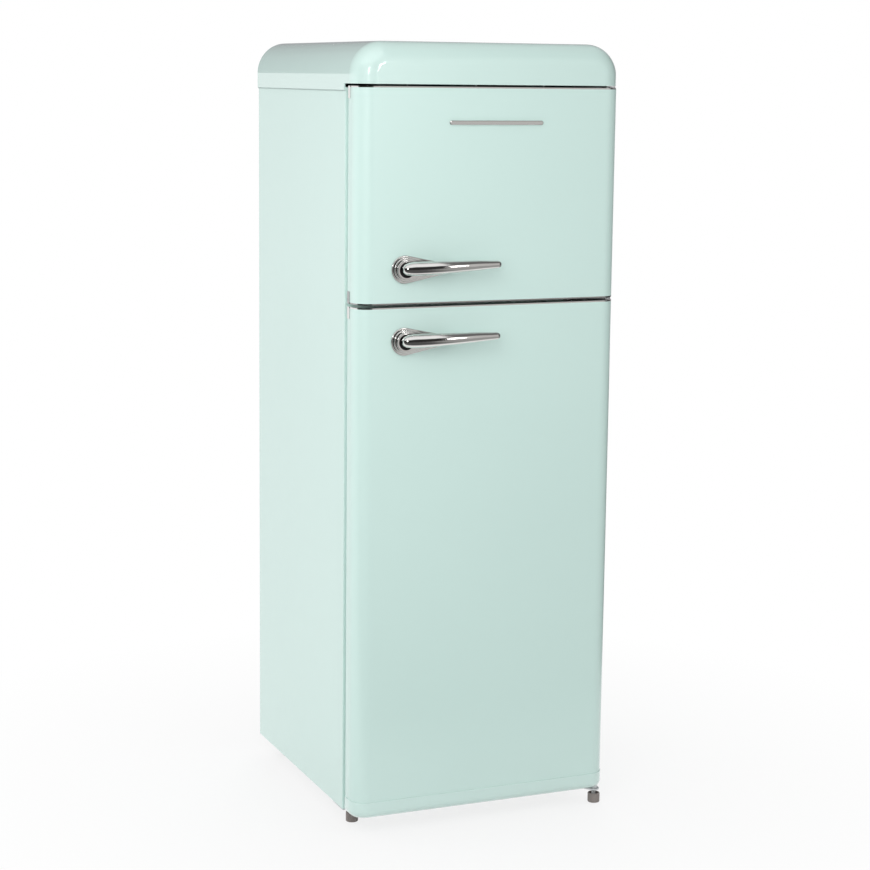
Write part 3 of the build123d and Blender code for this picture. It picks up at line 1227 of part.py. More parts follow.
# Mains gland in the tray's rear lip.
with BuildPart() as cord_gland:
    peg(gland_x, gland_z, (BACK_Y, BACK_Y + GLAND[2]), GLAND[0])
    fillet(cord_gland.faces().sort_by(Axis.Y)[-1].edges(), GLAND[2] / 3)
    peg(gland_x, gland_z, (BACK_Y - TRAY_SHEET, BACK_Y), GLAND[1])
    peg(gland_x, gland_z, (BACK_Y - TRAY_SHEET, BACK_Y + GLAND[2]), GLAND[1] / 2, Mode.SUBTRACT)

keep(cord_gland, "cord_gland")
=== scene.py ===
import json
import math

import bmesh
import bpy
from mathutils import Matrix, Vector


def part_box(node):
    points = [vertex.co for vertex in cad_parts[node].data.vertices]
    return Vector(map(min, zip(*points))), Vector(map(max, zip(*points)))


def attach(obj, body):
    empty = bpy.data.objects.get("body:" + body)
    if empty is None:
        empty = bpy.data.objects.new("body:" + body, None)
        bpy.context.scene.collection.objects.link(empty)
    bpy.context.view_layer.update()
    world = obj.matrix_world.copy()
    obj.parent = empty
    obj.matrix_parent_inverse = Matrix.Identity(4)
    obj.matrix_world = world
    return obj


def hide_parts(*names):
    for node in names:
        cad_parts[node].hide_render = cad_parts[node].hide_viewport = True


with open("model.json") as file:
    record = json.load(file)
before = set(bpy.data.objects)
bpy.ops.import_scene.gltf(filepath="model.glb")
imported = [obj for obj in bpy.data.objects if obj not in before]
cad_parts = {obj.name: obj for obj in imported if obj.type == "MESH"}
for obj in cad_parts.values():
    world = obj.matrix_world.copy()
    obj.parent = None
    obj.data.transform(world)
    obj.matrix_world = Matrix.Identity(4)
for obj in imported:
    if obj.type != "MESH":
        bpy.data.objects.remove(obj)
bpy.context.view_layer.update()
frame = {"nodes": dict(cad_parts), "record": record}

# Sizes in metres, colours linear.
MM = 0.001
WHITE = (1.0, 1.0, 1.0)
MINT = (0.592, 0.772, 0.726)
MINT_PALE = (0.610, 0.788, 0.742)
CHROME = (0.80, 0.79, 0.775)
CHROME_DULL = (0.75, 0.74, 0.725)
STEEL = (0.56, 0.58, 0.59)
ZINC = (0.62, 0.64, 0.65)
LINER_WHITE = (0.86, 0.87, 0.86)
LINER_PALE = (0.88, 0.89, 0.88)
SEAL_GREY = (0.70, 0.72, 0.72)
SEAL_PALE = (0.78, 0.80, 0.80)
BLACK = (0.018, 0.018, 0.020)
COPPER = (0.72, 0.36, 0.22)
COPPER_DARK = (0.50, 0.24, 0.15)
FOAM = (0.78, 0.66, 0.40)
FOAM_PALE = (0.82, 0.72, 0.48)
ALUMINIUM = (0.72, 0.73, 0.74)
ALUMINIUM_DULL = (0.62, 0.63, 0.64)
CLEAR = (0.84, 0.90, 0.91)
GLASS = (0.84, 0.93, 0.90)
GLASS_EDGE = (0.22, 0.50, 0.40)

# Height of the finest grain, on paint, plastic and rubber, and on metal.
SKIN_GRAIN = 0.0004
METAL_GRAIN = 0.0003

# The base pan is enamelled in front of this depth.
PAN_PAINT_Y = -0.195


class Value:
    """A shader socket that takes part in Python arithmetic."""

    def __init__(self, finish, socket):
        self.finish = finish
        self.socket = socket

    def math(self, operation, first, second):
        return self.finish.add("ShaderNodeMath", {"operation": operation}, {0: first, 1: second})

    def __add__(self, other):
        return self.math("ADD", self, other)

    def __radd__(self, other):
        return self.math("ADD", other, self)

    def __sub__(self, other):
        return self.math("SUBTRACT", self, other)

    def __rsub__(self, other):
        return self.math("SUBTRACT", other, self)

    def __mul__(self, other):
        return self.math("MULTIPLY", self, other)

    def __rmul__(self, other):
        return self.math("MULTIPLY", other, self)

    def __truediv__(self, other):
        return self.math("DIVIDE", self, other)

    def above(self, limit):
        return self.math("GREATER_THAN", self, limit)

    def clamped(self):
        return self.finish.add("ShaderNodeClamp", {}, {"Value": self})

    def rising(self, start, span):
        """0 up to start, then a straight rise to 1 over the span."""
        return ((self - start) / span).clamped()

    def falling(self, end, span):
        """1 until a span before the end, then a straight fall to 0 at the end."""
        return ((end - self) / span).clamped()


class Finish:
    """A node tree being written: a material, or the world."""

    def __init__(self, owner):
        owner.use_nodes = True
        self.owner = owner
        self.tree = owner.node_tree
        self.tree.nodes.clear()

    def add(self, kind, settings, inputs, out=0):
        """Adds a node: its settings first, then the values or links of its sockets."""
        node = self.tree.nodes.new(kind)
        for name, setting in settings.items():
            if name == "stops":
                ramp = node.color_ramp.elements
                while len(ramp) < len(setting):
                    ramp.new(1.0)
                for element, (place, colour) in zip(ramp, setting):
                    element.position = place
                    element.color = (*colour, 1.0)
            else:
                setattr(node, name, setting)
        for name, value in inputs.items():
            if isinstance(value, Value):
                self.tree.links.new(value.socket, node.inputs[name])
            elif isinstance(value, tuple) and len(node.inputs[name].default_value) == 4:
                node.inputs[name].default_value = (*value, 1.0)
            else:
                node.inputs[name].default_value = value
        return Value(self, node.outputs[out]) if node.outputs else None

    def place(self):
        return self.add("ShaderNodeTexCoord", {}, {}, "Object")

    def axis(self, vector, name):
        return self.add("ShaderNodeSeparateXYZ", {}, {0: vector}, name)

    def ray(self, kind):
        return self.add("ShaderNodeLightPath", {}, {}, kind)

    def noise(self, scale, detail=3.0):
        place = self.place()
        return self.add("ShaderNodeTexNoise", {}, {"Vector": place, "Scale": scale, "Detail": detail})

    def ramp(self, share, stops):
        return self.add("ShaderNodeValToRGB", {"stops": stops}, {"Fac": share})

    def blend(self, share, first, second):
        return self.add(
            "ShaderNodeMix", {"data_type": "RGBA"}, {"Factor": share, 6: first, 7: second}, 2
        )

    def bump(self, height, strength, distance):
        return self.add(
            "ShaderNodeBump", {}, {"Height": height, "Strength": strength, "Distance": distance}
        )

    def mix(self, share, first, second):
        return self.add("ShaderNodeMixShader", {}, {0: share, 1: first, 2: second})

    def surface(self, **sockets):
        """Ends the tree in one principled shader; names are its sockets with _ for a space."""
        inputs = {name.replace("_", " "): value for name, value in sockets.items()}
        shader = self.add("ShaderNodeBsdfPrincipled", {}, inputs)
        self.add("ShaderNodeOutputMaterial", {}, {"Surface": shader})
        return self.owner


def new_finish(name):
    return Finish(bpy.data.materials.new(name))


def mint_enamel(name, peel_scale, peel, coat):
    """Gloss enamel with a faint orange peel and slow colour drift."""
    f = new_finish(name)
    drift = f.noise(scale=3.0, detail=2.0)
    haze = f.noise(scale=28.0, detail=4.0)
    return f.surface(
        Base_Color=f.blend(drift, MINT, MINT_PALE),
        Roughness=0.17 + haze * 0.09,
        Coat_Weight=coat,
        Coat_Roughness=0.06,
        Normal=f.bump(f.noise(peel_scale, detail=2.0), peel, SKIN_GRAIN),
    )


def polished_chrome():
    f = new_finish("polished_chrome")
    haze = f.noise(scale=60.0, detail=4.0)
    return f.surface(
        Base_Color=f.blend(f.noise(scale=9.0), CHROME, CHROME_DULL),
        Metallic=1.0,
        Roughness=0.05 + haze * 0.06,
        Normal=f.bump(f.noise(scale=240.0, detail=2.0), 0.006, METAL_GRAIN),
    )


def galvanised_sheet():
    """Zinc with a spangle of small flat crystals."""
    f = new_finish("galvanised_sheet")
    spangle = f.add(
        "ShaderNodeTexVoronoi", {"feature": "F1"}, {"Vector": f.place(), "Scale": 170.0}, "Color"
    )
    patch = f.add("ShaderNodeSeparateColor", {}, {0: spangle})
    return f.surface(
        Base_Color=f.blend(patch, STEEL, ZINC),
        Metallic=0.80,
        Roughness=0.40 + patch * 0.10,
        Normal=f.bump(f.noise(scale=500.0), 0.03, METAL_GRAIN),
    )


def painted_pan():
    """The base pan's sheet: enamelled where it closes the front, bare zinc in the machine bay."""
    f = new_finish("painted_pan")
    inside = f.axis(f.place(), "Y").above(PAN_PAINT_Y)
    grain = f.noise(scale=120.0, detail=2.0)
    return f.surface(
        Base_Color=f.blend(inside, MINT, f.blend(grain, STEEL, ZINC)),
        Metallic=inside * 0.80,
        Roughness=0.19 + inside * 0.24 + grain * 0.06,
        Normal=f.bump(f.noise(scale=400.0, detail=2.0), 0.03, METAL_GRAIN),
    )


def moulded_plastic(name, colour, other, rough, grain, strength):
    f = new_finish(name)
    return f.surface(
        Base_Color=f.blend(f.noise(scale=6.0), colour, other),
        Roughness=rough + f.noise(scale=40.0) * 0.10,
        Normal=f.bump(f.noise(grain, detail=2.0), strength, SKIN_GRAIN),
    )


def clear_plastic(name, colour, edge_colour, body, edge_body):
    """Clear sheet that looks denser at a slant and on its cut edges."""
    f = new_finish(name)
    slant = f.add("ShaderNodeLayerWeight", {}, {"Blend": 0.3}, "Facing")
    level = f.axis(f.add("ShaderNodeTexCoord", {}, {}, "Normal"), "Z")
    edge = edge_body * (1 - level * level)
    return f.surface(
        Base_Color=f.blend(edge, colour, edge_colour),
        Roughness=0.06 + f.noise(scale=50.0) * 0.06,
        IOR=1.49,
        Alpha=(body + slant * 0.45 + edge).clamped(),
        Normal=f.bump(f.noise(scale=160.0, detail=2.0), 0.02, SKIN_GRAIN),
    )


def soft_seal():
    f = new_finish("soft_seal")
    return f.surface(
        Base_Color=f.blend(f.noise(scale=14.0), SEAL_GREY, SEAL_PALE),
        Roughness=0.55 + f.noise(scale=80.0) * 0.15,
        Normal=f.bump(f.noise(scale=420.0), 0.10, SKIN_GRAIN),
    )


def dull_metal(name, colour, worn, rough):
    f = new_finish(name)
    stain = f.noise(scale=22.0, detail=5.0)
    return f.surface(
        Base_Color=f.blend(stain, colour, worn),
        Metallic=1.0,
        Roughness=rough + stain * 0.18,
        Normal=f.bump(f.noise(scale=180.0), 0.05, METAL_GRAIN),
    )


enamel = mint_enamel("mint_enamel", peel_scale=260.0, peel=0.05, coat=0.35)
cover_gloss = mint_enamel("mint_plastic", peel_scale=420.0, peel=0.03, coat=1.0)
chrome = polished_chrome()
galvanised = galvanised_sheet()
base_sheet = painted_pan()
liner_white = moulded_plastic(
    "liner_white", LINER_WHITE, LINER_PALE, rough=0.30, grain=900.0, strength=0.03
)
black_plastic = moulded_plastic(
    "black_plastic", BLACK, (0.030, 0.030, 0.032), rough=0.42, grain=700.0, strength=0.20
)
black_rubber = moulded_plastic(
    "black_rubber", (0.022, 0.022, 0.022), (0.034, 0.034, 0.034), rough=0.6, grain=500.0, strength=0.15
)
black_enamel = moulded_plastic(
    "black_enamel", BLACK, (0.028, 0.028, 0.030), rough=0.28, grain=320.0, strength=0.08
)
white_wire = moulded_plastic(
    "white_wire", (0.84, 0.84, 0.83), (0.88, 0.88, 0.87), rough=0.16, grain=300.0, strength=0.05
)
wall_foam = moulded_plastic("wall_foam", FOAM, FOAM_PALE, rough=0.8, grain=260.0, strength=0.4)
clear_bin = clear_plastic("clear_bin", CLEAR, CLEAR, body=0.22, edge_body=0.0)
shelf_glass = clear_plastic("shelf_glass", GLASS, GLASS_EDGE, body=0.12, edge_body=0.65)
frosted_lens = moulded_plastic(
    "frosted_lens", (0.88, 0.87, 0.80), (0.92, 0.91, 0.86), rough=0.30, grain=600.0, strength=0.04
)
seal = soft_seal()
copper = dull_metal("copper", COPPER, COPPER_DARK, rough=0.30)
aluminium = dull_metal("aluminium", ALUMINIUM, ALUMINIUM_DULL, rough=0.30)
bright_steel = dull_metal("bright_steel", (0.70, 0.70, 0.69), (0.58, 0.58, 0.57), rough=0.29)
# A darker copy of chrome for the freezer door's bottom trim: painted shade of the dark gap it sits in.
shaded_chrome_trim = dull_metal("shaded_chrome_trim", (0.46, 0.46, 0.46), (0.38, 0.38, 0.38), rough=0.05)
foot_grey = moulded_plastic(
    "foot_grey", (0.235, 0.205, 0.190), (0.270, 0.240, 0.225), rough=0.40, grain=500.0, strength=0.12
)
# Dark grey-green for the strip under the cover's skirt: painted shadow.
skirt_shadow_grey = moulded_plastic(
    "skirt_shadow_grey", (0.38, 0.47, 0.45), (0.42, 0.51, 0.49), rough=0.6, grain=500.0, strength=0.10
)
dial_ink = moulded_plastic(
    "dial_ink", (0.10, 0.13, 0.14), (0.13, 0.16, 0.17), rough=0.5, grain=900.0, strength=0.05
)

NODE_FINISH = {
    "enamel": enamel,
    "cover_plastic": cover_gloss,
    "chrome": chrome,
    "galvanised": galvanised,
    "white_liner": liner_white,
    "clear_plastic": clear_bin,
    "lens": frosted_lens,
    "shelf_glass": shelf_glass,
    "seal_rubber": seal,
    "black_rubber": black_rubber,
    "foam": wall_foam,
    "black_enamel": black_enamel,
    "white_wire": white_wire,
    "copper": copper,
    "evaporator_plate": aluminium,
    "black_plastic": black_plastic,
    "foot_plastic": foot_grey,
}
for subpart in frame["record"]["subparts"]:
    mesh = frame["nodes"][subpart["node"]].data
    mesh.materials.clear()
    mesh.materials.append(NODE_FINISH[subpart["material_slot"]])
frame["nodes"]["base_pan"].data.materials[0] = base_sheet
# The freezer door's bottom trim takes the darker chrome, painted shade of the gap under the freezer
# door.
frame["nodes"]["freezer_bottom_trim"].data.materials[0] = shaded_chrome_trim

# Mesh tools: each adds to a sheet, a bmesh that becomes one piece.
WELD = 1e-6
CORNER_STEPS = 8


def new_piece(name, sheet, finishes, body, replaced=(), crease=35.0):
    """Ends a sheet as a named piece that rides on a body."""
    bmesh.ops.remove_doubles(sheet, verts=sheet.verts, dist=WELD)
    bmesh.ops.recalc_face_normals(sheet, faces=sheet.faces)
    mesh = bpy.data.meshes.new(name)
    sheet.to_mesh(mesh)
    sheet.free()
    for finish in finishes:
        mesh.materials.append(finish)
    mesh.shade_smooth()
    mesh.set_sharp_from_angle(angle=math.radians(crease))
    piece = bpy.data.objects.new(name, mesh)
    bpy.context.scene.collection.objects.link(piece)
    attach(piece, body)
    if replaced:
        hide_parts(*replaced)


def skinned(sheet, rows, finish=0):
    """Faces between closed rows of points that follow one another."""
    for near, far in zip(rows, rows[1:]):
        for step in range(len(near)):
            after = (step + 1) % len(near)
            face = sheet.faces.new((near[step], near[after], far[after], far[step]))
            face.material_index = finish


def turned(sheet, profile, place, axis, steps, flute=None, finish=0):
    """Turns (radius, height) pairs about an axis; flute gives a radius factor by angle and row."""
    turn = Vector((0, 0, 1)).rotation_difference(Vector(axis)).to_matrix()
    rows = []
    for row, (radius, height) in enumerate(profile):
        ring = []
        for step in range(steps):
            angle = 2 * math.pi * step / steps
            reach = radius * (flute(angle, row) if flute else 1.0)
            spot = turn @ Vector((reach * math.cos(angle), reach * math.sin(angle), height))
            ring.append(sheet.verts.new(Vector(place) + spot))
        rows.append(ring)
    skinned(sheet, rows, finish)
    return rows


def slab(sheet, low, high, bevel, finish=0):
    """A block between two corners with its edges softened."""
    made = bmesh.ops.create_cube(sheet, size=1.0)["verts"]
    for vert in made:
        vert.co = Vector([low[i] + (vert.co[i] + 0.5) * (high[i] - low[i]) for i in range(3)])
    faces = {face for vert in made for face in vert.link_faces}
    for face in faces:
        face.material_index = finish
    edges = list({edge for vert in made for edge in vert.link_edges})
    bmesh.ops.bevel(sheet, geom=edges, offset=bevel, segments=2, profile=0.5, affect="EDGES")


def rounded_frame(low, high, inset, corner):
    """Points (x, z) round a rounded rectangle, set in from its outside."""
    reach = corner - inset
    corners = ((high[0], high[2]), (low[0], high[2]), (low[0], low[2]), (high[0], low[2]))
    points = []
    for turn, (x, z) in enumerate(corners):
        middle_x = x - corner if x == high[0] else x + corner
        middle_z = z - corner if z == high[2] else z + corner
        for step in range(CORNER_STEPS + 1):
            angle = math.pi / 2 * (turn + step / CORNER_STEPS)
            points.append((middle_x + reach * math.cos(angle), middle_z + reach * math.sin(angle)))
    return points


# Door seals: a bellows between the door and a flat magnetic face, as (inset, rise) in millimetres.
SEAL_RISE = 15.7
SEAL_PROFILE = (
    (0.0, 0.0), (0.0, 2.6), (3.6, 4.0), (4.6, 5.4), (2.6, 7.4), (2.4, 8.4), (4.4, 10.4),
    (2.0, 12.2), (1.6, 13.0), (1.6, 15.2), (2.1, SEAL_RISE), (15.9, SEAL_RISE), (16.4, 15.2),
    (16.4, 13.0), (16.0, 12.2), (13.6, 10.4), (15.6, 8.4), (15.4, 7.4), (13.4, 5.4), (14.4, 4.0),
    (18.0, 2.6), (18.0, 0.0),
)
SEAL_CORNER = 0.020


def door_seal(name, body):
    low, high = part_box(name)
    sheet = bmesh.new()
    rows = []
    for inset, rise in SEAL_PROFILE:
        y = low[1] + (high[1] - low[1]) * rise / SEAL_RISE
        points = rounded_frame(low, high, inset * MM, SEAL_CORNER)
        rows.append([sheet.verts.new((x, y, z)) for x, z in points])
    skinned(sheet, rows + rows[:1])
    new_piece(name + "_bellows", sheet, [seal], body, [name], crease=50.0)


door_seal("freezer_door_gasket", "freezer_door")
door_seal("fridge_door_gasket", "fridge_door")

# Cover skirt: a thin dark strip under the skirt on either side, painted shadow of the gap between the
# cover and the cabinet.
JOINT_HEIGHT = 1.7 * MM
JOINT_REACH = 1.3 * MM
SOFT_EDGE = 0.0002


def skirt_shadow_strip():
    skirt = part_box("top_cover")[0][2]
    low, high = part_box("cabinet_wrapper")
    sheet = bmesh.new()
    for inner, outer in ((low[0] - JOINT_REACH, low[0]), (high[0], high[0] + JOINT_REACH)):
        slab(sheet, (inner, low[1], skirt - JOINT_HEIGHT), (outer, high[1], skirt), SOFT_EDGE)
    new_piece("skirt_shadow_strip", sheet, [skirt_shadow_grey], "cabinet")


skirt_shadow_strip()

# Handle recesses: a black cup lining the recess round each lever's nose, painted shade of the dark
# recess.
RECESS_X = -0.175
FREEZER_RECESS_Z = 1.079
FRIDGE_RECESS_Z = 0.946
RECESS_FLOOR = 0.0061
RECESS_DEPTH = 0.0087
RECESS_RADIUS = 0.01450
SHADE_CUP_WALL = 0.0006
SHADE_CUP_FLOOR = 0.0002
SHADE_CUP_LIP = 0.0002
SHADE_CUP_STEPS = 56


def recess_shade_cup(door, skin, z):
    face_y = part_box(skin)[0][1]
    bore = RECESS_RADIUS - SHADE_CUP_WALL
    profile = (
        (RECESS_RADIUS, RECESS_DEPTH), (RECESS_RADIUS, 0.0), (0.0, 0.0), (0.0, SHADE_CUP_FLOOR),
        (bore, SHADE_CUP_FLOOR), (bore, RECESS_DEPTH),
        (RECESS_RADIUS - SHADE_CUP_WALL / 2, RECESS_DEPTH + SHADE_CUP_LIP), (RECESS_RADIUS, RECESS_DEPTH),
    )
    sheet = bmesh.new()
    turned(sheet, profile, (RECESS_X, face_y - RECESS_FLOOR, z), (0, -1, 0), SHADE_CUP_STEPS)
    # The black plastic here is painted shade inside the handle's recess.
    new_piece(door + "_recess_bush", sheet, [black_plastic], door)


recess_shade_cup("freezer_door", "freezer_door_skin", FREEZER_RECESS_Z)
recess_shade_cup("fridge_door", "fridge_door_skin", FRIDGE_RECESS_Z)

# Levelling feet: a ribbed pad with a cup, on a threaded stud.
PAD_RIBS = 30
STEPS_PER_RIB = 4
RIB_DEPTH = 0.03
RIB_EDGE = 0.2
RIB_ROWS = (3, 4)
PAD_RADIUS = 0.012
PAD_HEIGHT = 0.019
CUP_RADIUS = 0.009
CUP_FLOOR = 0.010
STUD_RADIUS = 0.0045
STUD_STEPS = 32
THREAD_PITCH = 0.0015
THREAD_DEPTH = 0.0006
PAD_PROFILE = (
    (0.0, 0.0), (0.0100, 0.0), (0.0115, 0.0006), (PAD_RADIUS, 0.0022), (PAD_RADIUS, 0.0172),
    (0.0117, 0.0185), (0.0110, PAD_HEIGHT), (0.0096, PAD_HEIGHT), (CUP_RADIUS, 0.0182),
    (CUP_RADIUS, CUP_FLOOR), (STUD_RADIUS, CUP_FLOOR),
)


def pad_rib(angle, row):
    """The radius factor that cuts the gaps between the pad's ribs."""
    return 1 - RIB_DEPTH * (math.cos(PAD_RIBS * angle) > RIB_EDGE) * (row in RIB_ROWS)


def levelling_foot(name):
    low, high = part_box(name)
    place = ((low[0] + high[0]) / 2, (low[1] + high[1]) / 2, low[2])
    sheet = bmesh.new()
    turned(sheet, PAD_PROFILE, place, (0, 0, 1), PAD_RIBS * STEPS_PER_RIB, pad_rib)
    root = STUD_RADIUS - THREAD_DEPTH
    turns = int((high[2] - low[2] - CUP_FLOOR) / THREAD_PITCH)
    thread = []
    for lap in range(turns):
        thread.append((root, CUP_FLOOR + lap * THREAD_PITCH))
        thread.append((STUD_RADIUS, CUP_FLOOR + (lap + 0.5) * THREAD_PITCH))
    thread.append((root, CUP_FLOOR + turns * THREAD_PITCH))
    thread.append((0.0, CUP_FLOOR + turns * THREAD_PITCH))
    turned(sheet, thread, place, (0, 0, 1), STUD_STEPS, finish=1)
    finishes = [foot_grey, bright_steel]
    new_piece(name + "_pad", sheet, finishes, name, [name], crease=28.0)


levelling_foot("left_foot")
levelling_foot("right_foot")

# Pan-head screws with a cross recess, one kind throughout, sizes in millimetres.
HEAD_RADIUS = 4.6
HEAD_RIM = 0.7
HEAD_HEIGHT = 2.4
CROSS_REACH = 2.3
CROSS_HALF = 0.55
CROSS_DEPTH = 1.2
CROSS_TAPER = 0.7
SHANK_RADIUS = 2.2
SCREW_STEPS = 24
HEAD_PROFILE = (
    (HEAD_RADIUS, 0.0), (HEAD_RADIUS, HEAD_RIM), (HEAD_RADIUS * 0.94, 1.5),
    (HEAD_RADIUS * 0.80, 2.1), (HEAD_RADIUS * 0.62, HEAD_HEIGHT),
)
# One arm of the cross and the corner after it.
CROSS_ARM = (
    (CROSS_REACH, -CROSS_HALF), (CROSS_REACH, 0.0), (CROSS_REACH, CROSS_HALF),
    (CROSS_HALF, CROSS_HALF), (CROSS_HALF * 0.9, CROSS_HALF), (CROSS_HALF, CROSS_HALF * 1.6),
)
QUARTER_TURNS = ((1, 0), (0, 1), (-1, 0), (0, -1))
# Each screw's seat, the way its head faces, and the thickness that it grips.
SCREWS = (
    ((234.5, -191.325, 1415.6), (0, 0, 1), 9.0), ((234.5, -164.325, 1415.6), (0, 0, 1), 9.0),
    ((224.5, -211.725, 1012.0), (0, -1, 0), 3.4), ((194.5, -211.725, 1012.0), (0, -1, 0), 3.4),
    ((217.0, -182.325, 33.0), (0, 0, -1), 4.2), ((217.0, -142.325, 33.0), (0, 0, -1), 4.2),
    ((248.0, -182.325, 33.0), (0, 0, -1), 4.2), ((248.0, -142.325, 33.0), (0, 0, -1), 4.2),
    ((-256.6, -163.325, 33.0), (0, 0, -1), 4.2), ((-217.4, -163.325, 33.0), (0, 0, -1), 4.2),
)


def pan_screw(sheet, seat, axis, grip):
    """A screw whose head sits on seat and faces along axis."""
    place = Vector(seat) * MM
    profile = ((SHANK_RADIUS, -grip), (SHANK_RADIUS, 0.0), *HEAD_PROFILE)
    rows = turned(sheet, [(r * MM, h * MM) for r, h in profile], place, axis, SCREW_STEPS)
    sheet.faces.new(rows[0])
    turn = Vector((0, 0, 1)).rotation_difference(Vector(axis)).to_matrix()
    rim = []
    pit = []
    for cosine, sine in QUARTER_TURNS:
        for x, y in CROSS_ARM:
            flat = Vector((cosine * x - sine * y, sine * x + cosine * y, HEAD_HEIGHT))
            deep = Vector((CROSS_TAPER * flat.x, CROSS_TAPER * flat.y, HEAD_HEIGHT - CROSS_DEPTH))
            rim.append(sheet.verts.new(place + turn @ flat * MM))
            pit.append(sheet.verts.new(place + turn @ deep * MM))
    # The cross starts one step before the head's ring does.
    ring = rows[-1][-1:] + rows[-1][:-1]
    skinned(sheet, (ring, rim, pit))
    sheet.faces.new(pit)


def fixing_screws():
    sheet = bmesh.new()
    for seat, axis, grip in SCREWS:
        pan_screw(sheet, seat, axis, grip)
    new_piece("pan_head_screws", sheet, [bright_steel], "cabinet", ["fixing_screws"])


fixing_screws()

# Rear rollers: a grooved tyre on a webbed hub.
AXLE_BORE = 0.00306
HUB_RADIUS = 0.006
WEB_INNER = 0.0062
WEB_OUTER = 0.0115
WEB_DEPTH = 0.002
TYRE_INNER = 0.012
TYRE_CHAMFER = 0.0012
GROOVE_DEPTH = 0.0008
GROOVE_EDGES = ((0.3, 0.34, 0.42, 0.46), (0.54, 0.58, 0.66, 0.7))
ROLLER_STEPS = 56


def rear_roller(name):
    low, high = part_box(name)
    width = high[0] - low[0]
    radius = (high[2] - low[2]) / 2
    place = (low[0], (low[1] + high[1]) / 2, (low[2] + high[2]) / 2)
    profile = [
        (AXLE_BORE, 0.0), (HUB_RADIUS, 0.0), (WEB_INNER, WEB_DEPTH), (WEB_OUTER, WEB_DEPTH),
        (TYRE_INNER, 0.0), (radius - TYRE_CHAMFER, 0.0), (radius, TYRE_CHAMFER),
    ]
    for start, floor_start, floor_end, end in GROOVE_EDGES:
        profile += [
            (radius, width * start), (radius - GROOVE_DEPTH, width * floor_start),
            (radius - GROOVE_DEPTH, width * floor_end), (radius, width * end),
        ]
    profile += [
        (radius, width - TYRE_CHAMFER), (radius - TYRE_CHAMFER, width), (TYRE_INNER, width),
        (WEB_OUTER, width - WEB_DEPTH), (WEB_INNER, width - WEB_DEPTH), (HUB_RADIUS, width),
        (AXLE_BORE, width), (AXLE_BORE, 0.0),
    ]
    sheet = bmesh.new()
    turned(sheet, profile, place, (1, 0, 0), ROLLER_STEPS)
    new_piece(name + "_tyre", sheet, [black_plastic], name, [name], crease=30.0)


rear_roller("left_roller")
rear_roller("right_roller")

# Thermostat: a fluted knob with a pointer, and dots of growing size round it on the housing.
KNOB_FLUTES = 20
STEPS_PER_FLUTE = 6
FLUTE_DEPTH = 0.05
GRIP_ROWS = (2, 3, 4)
# Radius and depth, which runs back from the grip's face.
GRIP_PROFILE = (
    (0.0, 0.0), (0.0095, 0.0), (0.0112, 0.0008), (0.0122, 0.0024), (0.0128, 0.0085), (0.0132, 0.0098),
)
SKIRT_FRONT = 0.0102
SKIRT_CHAMFER = 0.0012
SKIRT_BACK = 0.0150
STEM_RADIUS = 0.0040
STEM_BACK = 0.0267
POINTER_HALF = 0.0009
POINTER_DEPTH = 0.0006
POINTER_PROUD = 0.00005
POINTER_SPAN = (0.002, 0.0092)
SKIRT_MARK_FRONT = 0.0100
SKIRT_MARK_SPAN = (0.0138, 0.0156)
DIAL_RADIUS = 0.0203
DIAL_DOTS = 8
DIAL_SWEEP = 150.0
DOT_RADIUS = 0.5 * MM
DOT_GROWTH = 0.16 * MM
DOT_HEIGHT = 0.00016
DOT_EDGE = 0.0001
DOT_CROWN = 0.9
DOT_STEPS = 20


def knob_flute(angle, row):
    """The radius factor that cuts the flutes into the grip."""
    return 1 - FLUTE_DEPTH * (0.5 + 0.5 * math.cos(KNOB_FLUTES * angle)) * (row in GRIP_ROWS)


def thermostat_knob(name):
    low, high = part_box(name)
    x, y, z = (low[0] + high[0]) / 2, low[1], (low[2] + high[2]) / 2
    skirt = (high[0] - low[0]) / 2
    profile = GRIP_PROFILE + (
        (skirt - SKIRT_CHAMFER, SKIRT_FRONT), (skirt, SKIRT_FRONT + SKIRT_CHAMFER), (skirt, SKIRT_BACK),
        (STEM_RADIUS, SKIRT_BACK), (STEM_RADIUS, STEM_BACK), (0.0, STEM_BACK),
    )
    sheet = bmesh.new()
    turned(sheet, profile, (x, y, z), (0, 1, 0), KNOB_FLUTES * STEPS_PER_FLUTE, knob_flute)
    marks = (
        (-POINTER_PROUD, POINTER_DEPTH, POINTER_SPAN),
        (SKIRT_MARK_FRONT, SKIRT_MARK_FRONT + POINTER_DEPTH, SKIRT_MARK_SPAN),
    )
    for front, back, (start, end) in marks:
        mark_low = (x - POINTER_HALF, y + front, z + start)
        mark_high = (x + POINTER_HALF, y + back, z + end)
        slab(sheet, mark_low, mark_high, SOFT_EDGE, finish=1)
    new_piece("fluted_knob", sheet, [liner_white, dial_ink], name, [name], crease=30.0)


def dial_dots():
    low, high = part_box("thermostat_knob")
    x, z = (low[0] + high[0]) / 2, (low[2] + high[2]) / 2
    face_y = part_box("thermostat_housing")[0][1]
    sheet = bmesh.new()
    for dot in range(DIAL_DOTS):
        angle = math.radians(90 + DIAL_SWEEP - 2 * DIAL_SWEEP * dot / (DIAL_DOTS - 1))
        size = DOT_RADIUS + DOT_GROWTH * dot
        spot = (x + DIAL_RADIUS * math.cos(angle), face_y, z + DIAL_RADIUS * math.sin(angle))
        profile = ((size, 0.0), (size, DOT_EDGE), (size * DOT_CROWN, DOT_HEIGHT))
        rows = turned(sheet, profile, spot, (0, -1, 0), DOT_STEPS)
        sheet.faces.new(rows[-1])
    new_piece("dial_dots", sheet, [dial_ink], "cabinet")


thermostat_knob("thermostat_knob")
dial_dots()

